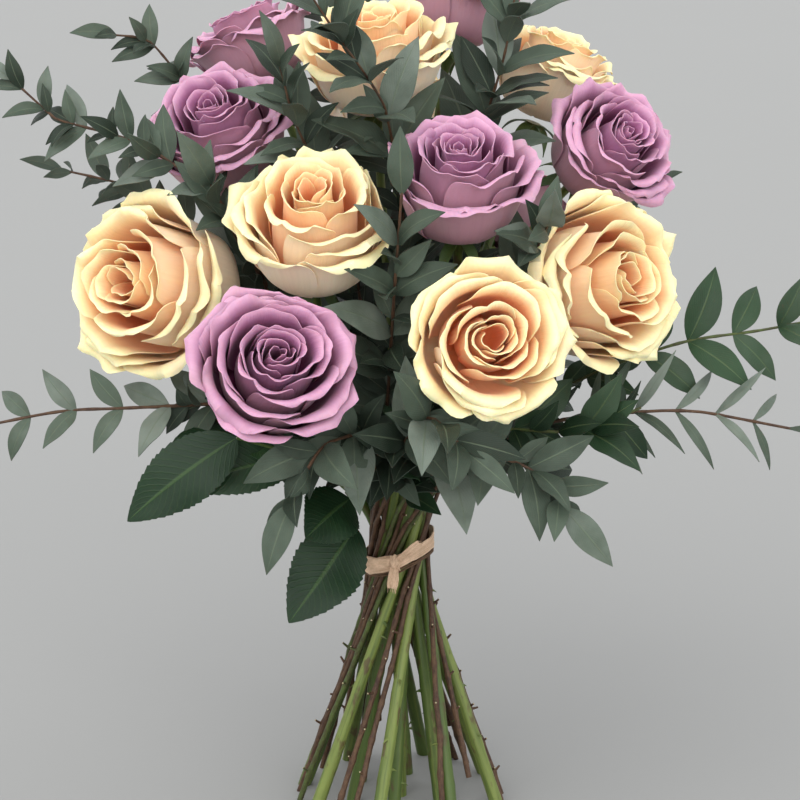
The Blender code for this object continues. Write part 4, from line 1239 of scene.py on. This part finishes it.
@dataclass
class RoseLeafSpray:
    """The compound leaves of one rose stem, with serrated leaflets on thin stalks.

    The planned leaves are the node's own. The others fill the bunch under the blooms.
    """

    name: str
    path: Array
    seed: int
    heights: tuple[float, ...] = (0.208, 0.238, 0.268, 0.298)

    def leaflet(self, skin: Skin, blade: LeafBlade, random: np.random.Generator) -> None:
        """Adds one leaflet."""
        skin.blade(blade.grid(random), 0.0004, (1.0, random.uniform(0, 1), 0.0))

    def planned(self, skin: Skin, random: np.random.Generator) -> None:
        """The leaves that the node has too."""
        for leaf in (item for item in ROSE_LEAVES if item.stem == self.name):
            root = point_at(leaf.height, self.path[:, 2], self.path)
            stalk = spline(np.vstack([root, leaf.stalk]), 6)
            skin.tube(stalk, np.linspace(0.0011, 0.0007, len(stalk)), 8, (0.0, 0.5, 0.0))
            for start, tip, width in leaf.leaflets:
                normal = np.array([0.15, -0.85, 0.5])
                self.leaflet(skin, LeafBlade(np.array(start), np.array(tip), normal, width, 0.05, True), random)

    def filling(self, skin: Skin, random: np.random.Generator) -> None:
        """Leaves of three leaflets that point outward and up from the stem."""
        for height in self.heights:
            if height > self.path[-1, 2] - 0.03:
                continue
            root = point_at(height + random.uniform(-0.01, 0.01), self.path[:, 2], self.path)
            turn = math.atan2(root[1], root[0]) + random.uniform(-0.8, 0.8)
            rise = random.uniform(0.1, 0.6)
            out = np.array([math.cos(turn), math.sin(turn), rise])
            out /= np.linalg.norm(out)
            reach = random.uniform(0.024, 0.040)
            end = root + out * reach
            middle = root + out * reach * 0.6 + np.array([0, 0, 0.003])
            level = unit(np.cross(out, (0, 0, 1)))
            normal = unit(np.cross(level, out)) + 0.35 * out
            length = random.uniform(0.036, 0.048)
            blades = []
            for start, sideways, share in ((end, 0.0, 1.0), (middle, 1.1, 0.8), (middle, -1.1, 0.8)):
                way = unit(out * math.cos(sideways) + level * math.sin(sideways) - np.array([0, 0, 0.25]))
                blades.append(LeafBlade(start, start + way * length * share, normal, length * share * 0.62, 0.06, True, False))
            free = [blade for blade in blades if blade.is_free() and blade.tip[2] > 0.17]
            if not free or in_bloom(end[None]).any():
                continue
            skin.tube(spline([root, middle, end], 5), np.linspace(0.0010, 0.0006, 11), 6, (0.0, 0.5, 0.0))
            for blade in free:
                self.leaflet(skin, blade, random)

    def build(self, finish: bpy.types.Material) -> bpy.types.Object | None:
        """Makes the stalks and the leaflets, if there is room for any."""
        skin = Skin()
        random = np.random.default_rng(self.seed)
        self.planned(skin, random)
        self.filling(skin, random)
        return skin.build("rose_leaves_" + self.name, finish) if skin.count else None


@dataclass
class LeafyBranch:
    """A woody twig with pairs of leaves, each where its node has it."""

    branch: Branch
    path: Array
    seed: int
    sides: int = 8
    pitch: float = 0.95
    tip_pitch: float = 0.12
    open_from: float = 0.12

    def node_points(self) -> Array:
        """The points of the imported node's mesh."""
        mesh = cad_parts["branch_" + self.branch.name].data
        points = np.empty(len(mesh.vertices) * 3, np.float32)
        mesh.vertices.foreach_get("co", points)
        return points.reshape(-1, 3).astype(float)

    def twig(self, skin: Skin, line: Array) -> None:
        """The twig: knots swell its radius wherever a pair of leaves once grew.

        Below the leaves it is a little crooked from knot to knot, and some knots carry
        the stub of a broken side shoot.
        """
        random = np.random.default_rng(self.seed + 300)
        path = spline(line, 6)
        rough = travelled(path)
        path = point_at(np.linspace(0, rough[-1], int(rough[-1] / 0.0035)), rough, path)
        distance = travelled(path)
        radii = TWIG_TAPER.radius(path[:, 2])
        share = np.clip((distance - 0.3 * distance[-1]) / (0.7 * distance[-1]), 0, 1)
        radii = radii * (1 - 0.35 * share)
        knots = np.arange(0.012, distance[-1] - 0.01, 0.021) + random.uniform(0, 0.01)
        for place in knots:
            radii = radii * (1 + 0.32 * np.exp(-((distance - place) / 0.0022) ** 2))
        sway = np.stack([np.interp(distance, knots, random.uniform(-1, 1, len(knots))) for _ in range(2)], -1)
        path[:, :2] += 0.0007 * sway * (ease(distance, 0.0, 0.02) * ease(path[:, 2], 0.25, 0.17))[:, None]
        tone = random.uniform(0, 1)
        skin.tube(path, radii, self.sides, (0.0, tone, 0.0), line[0, 2] < 1e-6)
        for place in knots[knots < distance[-1] * 0.45]:
            if random.uniform() < 0.45:
                self.stub(skin, point_at(place, distance, path), random, tone)

    def stub(self, skin: Skin, start: Array, random: np.random.Generator, tone: float) -> None:
        """A broken side shoot, 2 to 6 mm long, that points out and up from a knot."""
        if abs(start[2] - 0.156) < 0.016:
            return
        turn = math.atan2(start[1], start[0]) + random.uniform(-1.0, 1.0)
        out = np.array([math.cos(turn), math.sin(turn), random.uniform(-0.1, 1.1)])
        t = np.linspace(0, 1, 5)
        length = random.uniform(0.0020, 0.0062)
        line = start + unit(out) * length * t[:, None] + np.array([0, 0, 0.0008]) * (t**2)[:, None]
        skin.tube(line, 0.0010 - 0.00045 * t, 7, (0.0, tone, 0.0))

    def leaves(self, skin: Skin, line: Array) -> int:
        """The leaves, in pairs along the route, each at the angle that its node has.

        Args:
            skin: what the leaves are added to.
            line: the twig's middle line.

        Returns:
            How many leaves were made.
        """
        branch, kind, facing = self.branch, self.branch.kind.value, np.array(self.branch.facing.value)
        random = np.random.default_rng(self.seed)
        own = np.random.default_rng(self.seed + 200)
        known = self.node_points()
        first = int(np.linalg.norm(line - np.array(branch.route[0]), axis=1).argmin())
        route = line[first:]
        distance = travelled(route)
        count = max(int(distance[-1] / kind.spacing), 2)
        made = 0
        for node in range(count + 1):
            place = distance[-1] * node / count
            point = point_at(place, distance, route)
            tangent = unit(point_at(place + 0.004, distance, route) - point_at(place - 0.004, distance, route))
            level = unit(np.cross(facing, tangent))
            rise = np.cross(tangent, level)
            turn = random.uniform(-0.3, 0.3) + (0.35 if node % 2 else -0.35)
            size = (1 - 0.30 * node / count) * random.uniform(0.88, 1.12)
            last = node == count
            pitch = self.tip_pitch if last else self.pitch
            for start in ([turn] if last else [turn, math.pi - turn]):
                angle = start + np.array([0, 0.5, -0.5, 1.0, -1.0, 1.5, -1.5])
                outward = level * np.cos(angle)[:, None] + rise * np.sin(angle)[:, None]
                along = tangent * math.cos(pitch) + outward * math.sin(pitch)
                tips = point + along * kind.length * size
                miss = np.linalg.norm(tips[:, None] - known[None], axis=-1).min(1)
                best = int(miss.argmin())
                if miss[best] > 0.0025:
                    continue
                root = point + along[best] * 0.0009 * (-1.5 if last else 0.3)
                blade = LeafBlade(root, tips[best], facing + 0.35 * tangent, kind.width * size, kind.droop)
                # Planned leaves take the upper tones. The filling leaves take lower ones, and the difference is
                # painted shade.
                skin.blade(blade.grid(own), 0.00045, (1.0, own.uniform(0.4, 1.0), 0.0))
                made += 1
        return made

    def filling(self, skin: Skin, line: Array) -> int:
        """More pairs between the planned ones and down to the waist, each pair across the last, in darker tones as
        painted shade deep in the bunch.

        Args:
            skin: what the leaves are added to.
            line: the twig's middle line.

        Returns:
            How many leaves were made.
        """
        kind, facing = self.branch.kind.value, np.array(self.branch.facing.value)
        own = np.random.default_rng(self.seed + 400)
        distance = travelled(line)
        start = float(np.interp(0.205, line[:, 2], distance))
        made = 0
        for index, place in enumerate(np.arange(start, distance[-1] - 0.004, kind.spacing * 0.50)):
            place += own.uniform(-0.3, 0.3) * kind.spacing
            point = point_at(place, distance, line)
            if abs(point[0]) > self.open_from and point[2] < 0.32:
                continue
            tangent = unit(point_at(place + 0.004, distance, line) - point_at(place - 0.004, distance, line))
            level = unit(np.cross(facing, tangent))
            rise = np.cross(tangent, level)
            turn = own.uniform(-0.8, 0.8) + (math.pi / 2 if index % 2 else 0)
            size = (1 - 0.35 * place / distance[-1]) * own.uniform(0.65, 1.15)
            for begin in (turn, turn + math.pi):
                for angle in begin + own.uniform(-0.6, 0.6, 3):
                    pitch = self.pitch + own.uniform(-0.4, 0.35)
                    outward = level * math.cos(angle) + rise * math.sin(angle)
                    along = tangent * math.cos(pitch) + outward * math.sin(pitch)
                    normal = facing + 0.35 * tangent + own.uniform(-0.4, 0.4, 3)
                    blade = LeafBlade(point + along * 0.0003, point + along * kind.length * size, normal,
                                      kind.width * size, kind.droop, False, False)
                    if blade.is_free() and blade.tip[2] > 0.17:
                        # Low tones: a random leaf tone, shifted darker as painted shade for leaves deep in the bunch.
                        skin.blade(blade.grid(own), 0.00045, (1.0, own.uniform(0.0, 0.65), 0.0))
                        made += 1
                        break
        return made

    def build(self, finish: bpy.types.Material) -> bpy.types.Object:
        """Makes the twig and its leaves."""
        skin = Skin()
        line = few_points(self.path)
        self.twig(skin, line)
        made = self.leaves(skin, line)
        more = self.filling(skin, line)
        log.info("%s has %d leaves of its node and %d more", self.branch.name, made, more)
        return skin.build("spray_" + self.branch.name, finish)


# ------------------------------------------------------------------------------ the tie


@dataclass
class RaffiaTie:
    """The raffia strip round the waist, its knot and its loose ends."""

    paths: dict[str, Array]
    height: float
    width: float = 0.009
    thickness: float = 0.0010
    slope: float = 0.35
    corners: int = 16

    TAILS = (
        ((0.000, -0.0010, -0.001), (-0.0015, -0.0050, -0.0135), 0.0070),
        ((-0.001, -0.0010, 0.001), (-0.0150, -0.0035, 0.0005), 0.0065),
        ((0.001, -0.0010, 0.001), (0.0140, -0.0030, 0.0130), 0.0055),
    )

    def outline(self) -> Array:
        """The corners of the outline drawn tight round the stems in the waist.

        In each of 16 directions the furthest stem sets how far the outline reaches, and
        two neighbouring directions meet in a corner.
        """
        turns = np.arange(self.corners) * 2 * math.pi / self.corners
        directions = np.column_stack([np.cos(turns), np.sin(turns)])
        slant = math.hypot(1, Ring.OUTER.value[1])
        reach = np.zeros(self.corners)
        for name, path in self.paths.items():
            thick = (ROSE_TAPER if len(name) == 1 else TWIG_TAPER).tie
            heights = self.height + np.linspace(-1.4, 1.4, 7) * self.width
            places = np.stack([np.interp(heights, path[:, 2], path[:, side]) for side in range(2)])
            reach = np.maximum(reach, (directions @ places).max(1) + thick * slant + SEAT_GAP)
        after = np.roll(np.arange(self.corners), -1)
        pairs = np.stack([directions, directions[after]], axis=1)
        return np.linalg.solve(pairs, np.stack([reach, reach[after]], -1)[..., None])[..., 0]

    def band(self, skin: Skin, inner: Array) -> None:
        """The strip itself: crumpled folds that stand out from the outline by up to 1 mm."""
        closed = np.vstack([inner, inner[:1]])
        share = np.linspace(0, len(inner), len(inner) * 6 + 1)
        ring = np.stack([np.interp(share, np.arange(len(closed)), closed[:, side]) for side in range(2)], -1)
        random = np.random.default_rng(5)
        across = np.linspace(-0.5, 0.5, 13)[:, None]
        turn = np.linspace(0, 2 * math.pi, len(ring))[None, :]
        crumple = sum(np.sin(turn * step + across * random.uniform(4, 16) + random.uniform(0, 6)) / 4
                      for step in (5, 9, 14, 23))
        pleat = np.sin(across * 19 + np.sin(turn * 3) * 0.9) * 0.5
        stand = 0.0003 + 0.0007 * (0.5 + 0.35 * crumple + 0.3 * pleat).clip(0, 1)
        size = np.linalg.norm(ring, axis=1)
        flat = ring[None] * (1 + stand / size[None])[..., None]
        edge = across * self.width * (1 + 0.16 * np.sin(turn * 2 + 1) + 0.05 * np.sin(turn * 11))
        height = self.height + self.slope * flat[..., 0] + edge
        grid = np.concatenate([flat, height[..., None]], -1)
        grid[:, -1] = grid[:, 0]
        skin.blade(grid[:, ::-1].transpose(1, 0, 2), 0.00045, (0.0, 0.3, 0.0))

    def ribbon(self, skin: Skin, line: Array, width: Array, facing: Array, seed: int) -> None:
        """A flat strip along a line, cupped across and curled along.

        Args:
            skin: what the strip is added to.
            line: its middle line.
            width: its width at each point.
            facing: which way its flat side looks.
            seed: the seed of its crumples.
        """
        random = np.random.default_rng(seed)
        tangent = unit(np.gradient(line, axis=0))
        side = unit(np.cross(tangent, facing))
        out = np.cross(side, tangent)
        u = np.linspace(-1, 1, 9)[None, :]
        t = np.linspace(0, 1, len(line))[:, None]
        crumple = np.sin(u * 7 + random.uniform(0, 6)) * 0.10 + 0.18 * u**2 + 0.10 * np.sin(t * 9 + u * 3)
        half = (width / 2)[:, None]
        grid = line[:, None] + side[:, None] * (u * half)[..., None] + out[:, None] * (crumple * half)[..., None]
        skin.blade(grid, 0.0004, (0.0, random.uniform(0, 1), 0.0))

    def knot(self, skin: Skin, seat: Array) -> None:
        """The knot: short strips folded over each other, and the loose ends with frayed tips."""
        t = np.linspace(0, 1, 15)
        for seed, lean in enumerate((0.35, -0.5, 0.1)):
            arch = 0.0030 * np.sin(math.pi * t)
            line = np.column_stack([0.0005 + lean * 0.006 * (t - 0.5), -0.0004 - arch, 0.0085 * (0.5 - t)])
            self.ribbon(skin, seat + line, 0.0042 + 0.0012 * np.sin(t * 5 + seed), np.array([0, -1, 0.15]), seed)
        for seed, (start, end, width) in enumerate(self.TAILS):
            start, end = seat + np.array(start), seat + np.array(end)
            bow = np.outer(np.sin(math.pi * t), (0, -0.0018, 0.0004))
            line = start + np.outer(t, end - start) + bow
            self.ribbon(skin, line, width * (0.62 + 0.45 * t - 0.35 * t**6), np.array([0, -1, 0.1]), 20 + seed)
            self.fray(skin, line[-1], unit(line[-1] - line[-3]), width, 40 + seed)

    def fray(self, skin: Skin, end: Array, along: Array, width: float, seed: int) -> None:
        """Short loose fibres that fan out at a strip's torn end."""
        random = np.random.default_rng(seed)
        side = unit(np.cross(along, (0, -1, 0.1)))
        t = np.linspace(0, 1, 6)[:, None]
        for _ in range(9):
            start = end + side * random.uniform(-0.4, 0.4) * width - along * 0.001
            way = along + side * random.uniform(-0.5, 0.5) + np.array([0, random.uniform(-0.4, 0.2), 0])
            length = random.uniform(0.0015, 0.0040)
            line = start + unit(way) * length * t + np.array([0, 0, -0.3]) * length * t**2
            skin.tube(line, 0.00022 * (1 - 0.6 * t[:, 0]), 5, (0.0, random.uniform(0, 1), 0.0))

    def twine(self, skin: Skin, inner: Array) -> None:
        """Two turns of thin brown twine that show just below the strip."""
        closed = np.vstack([inner, inner[:1]])
        share = np.linspace(0, len(inner), len(inner) * 5 + 1)
        ring = np.stack([np.interp(share, np.arange(len(closed)), closed[:, side]) for side in range(2)], -1)
        for index in range(2):
            flat = ring * (1 + 0.0002 / np.linalg.norm(ring, axis=1))[:, None]
            wobble = 0.0004 * np.sin(np.linspace(0, 2 * math.pi, len(ring)) * (3 + index))
            height = self.height - self.width * 0.5 - 0.0009 - 0.0013 * index + self.slope * flat[:, 0] + wobble
            skin.tube(np.column_stack([flat, height]), np.full(len(ring), 0.00055), 7, (1.0, 0.4, 0.0))

    def build(self, finish: bpy.types.Material) -> bpy.types.Object:
        """Makes the strip, the knot and the twine."""
        skin = Skin()
        inner = self.outline()
        self.band(skin, inner)
        front = inner[int(np.argmin(inner[:, 1]))]
        front = front * (1 + self.thickness / np.linalg.norm(front))
        self.knot(skin, np.array([*front, self.height + self.slope * front[0]]))
        self.twine(skin, inner)
        return skin.build("raffia_tie", finish, 70)


# --------------------------------------------------------------------------- the studio


@dataclass(frozen=True)
class Studio:
    """The camera, a plain pale floor and soft light."""

    elevation: float = math.radians(17.0)
    distance: float = 1.40
    aim_height: float = 0.245
    lens: float = 111.5

    def camera(self) -> None:
        """The camera, looking down at the bouquet from the photograph's angle."""
        back = Vector((0, -math.cos(self.elevation), math.sin(self.elevation)))
        data = bpy.data.cameras.new("camera")
        data.lens = self.lens
        data.sensor_width = 36
        item = bpy.data.objects.new("camera", data)
        item.location = Vector((0, 0, self.aim_height)) + back * self.distance
        item.rotation_euler = (-back).to_track_quat("-Z", "Y").to_euler()
        bpy.context.scene.collection.objects.link(item)
        bpy.context.scene.camera = item

    def floor(self) -> None:
        """A wide pale floor that the bouquet stands on."""
        mesh = bpy.data.meshes.new("floor")
        mesh.from_pydata([(-6, -6, 0), (6, -6, 0), (6, 9, 0), (-6, 9, 0)], [], [(0, 1, 2, 3)])
        graph = Graph("pale floor")
        cloud = graph.noise(graph.spot(), 3.0, 2.0)
        colour = graph.blend(cloud, (0.308, 0.310, 0.304), (0.314, 0.316, 0.310))
        mesh.materials.append(graph.finish(colour, 0.75, graph.bump(cloud, 0.0005, 0.1)))
        item = bpy.data.objects.new("floor", mesh)
        bpy.context.scene.collection.objects.link(item)

    @staticmethod
    def sun(name: str, toward: tuple[float, float, float], strength: float, spread: float, colour: Colour) -> None:
        """One even, soft light.

        Args:
            name: its name.
            toward: the direction from the bouquet to the light.
            strength: its strength.
            spread: how wide it is, in degrees.
            colour: its colour.
        """
        data = bpy.data.lights.new(name, "SUN")
        data.energy = strength
        data.angle = math.radians(spread)
        data.color = colour
        item = bpy.data.objects.new(name, data)
        item.rotation_euler = (-Vector(toward)).to_track_quat("-Z", "Y").to_euler()
        bpy.context.scene.collection.objects.link(item)

    def build(self) -> None:
        """Sets up everything that isn't part of the bouquet."""
        self.camera()
        self.floor()
        self.sun("key", (-0.55, -1.05, 1.25), 1.30, 60, (1.0, 0.985, 0.96))
        self.sun("fill", (0.35, -1.0, 0.24), 1.20, 60, (1.0, 0.99, 0.98))
        world = bpy.data.worlds.new("soft room")
        world.use_nodes = True
        world.node_tree.nodes["Background"].inputs[0].default_value = (0.97, 0.98, 1.0, 1)
        world.node_tree.nodes["Background"].inputs[1].default_value = 1.15
        bpy.context.scene.world = world
        bpy.context.scene.view_settings.view_transform = "Standard"


def main() -> None:
    """Builds the bouquet piece by piece."""
    logging.basicConfig(level=logging.INFO, format="%(message)s")
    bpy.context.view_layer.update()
    bundle = Bundle()
    paths = bundle.paths()
    petals = {Hue.PEACH: PEACH_PETALS.material(), Hue.LAVENDER: LAVENDER_PETALS.material()}
    stem_green = ROSE_STEM.material()
    leaf_green = ROSE_LEAVES_FINISH.material()
    for index, rose in enumerate(ROSES):
        put(Bloom(rose, FIRST_SEED + index).build(petals[rose.hue]), "bloom_" + rose.name)
        put(RoseStem(rose, paths[rose.name], index).build(stem_green), "stem_" + rose.name)
        leaves = RoseLeafSpray(rose.name, paths[rose.name], index + 700).build(leaf_green)
        if leaves:
            put(leaves, "stem_" + rose.name)
    grey, dark = GREY_LEAVES.material(), DARK_LEAVES.material()
    for index, branch in enumerate(BRANCHES):
        is_dark = branch.kind is Leaves.DARK
        spray = LeafyBranch(branch, paths[branch.name], FIRST_SEED + index).build(dark if is_dark else grey)
        put(spray, "branch_" + branch.name)
    put(RaffiaTie(paths, bundle.tie_height).build(RAFFIA.material()), "tie")
    Studio().build()
    pieces = [item for item in bpy.data.objects if item.type == "MESH" and "place" in item.data.attributes]
    counts = {item.name: sum(len(face.vertices) - 2 for face in item.data.polygons) for item in pieces}
    log.info("triangles in all %d, most in one piece %d", sum(counts.values()), max(counts.values()))


if __name__ == "__main__":
    main()
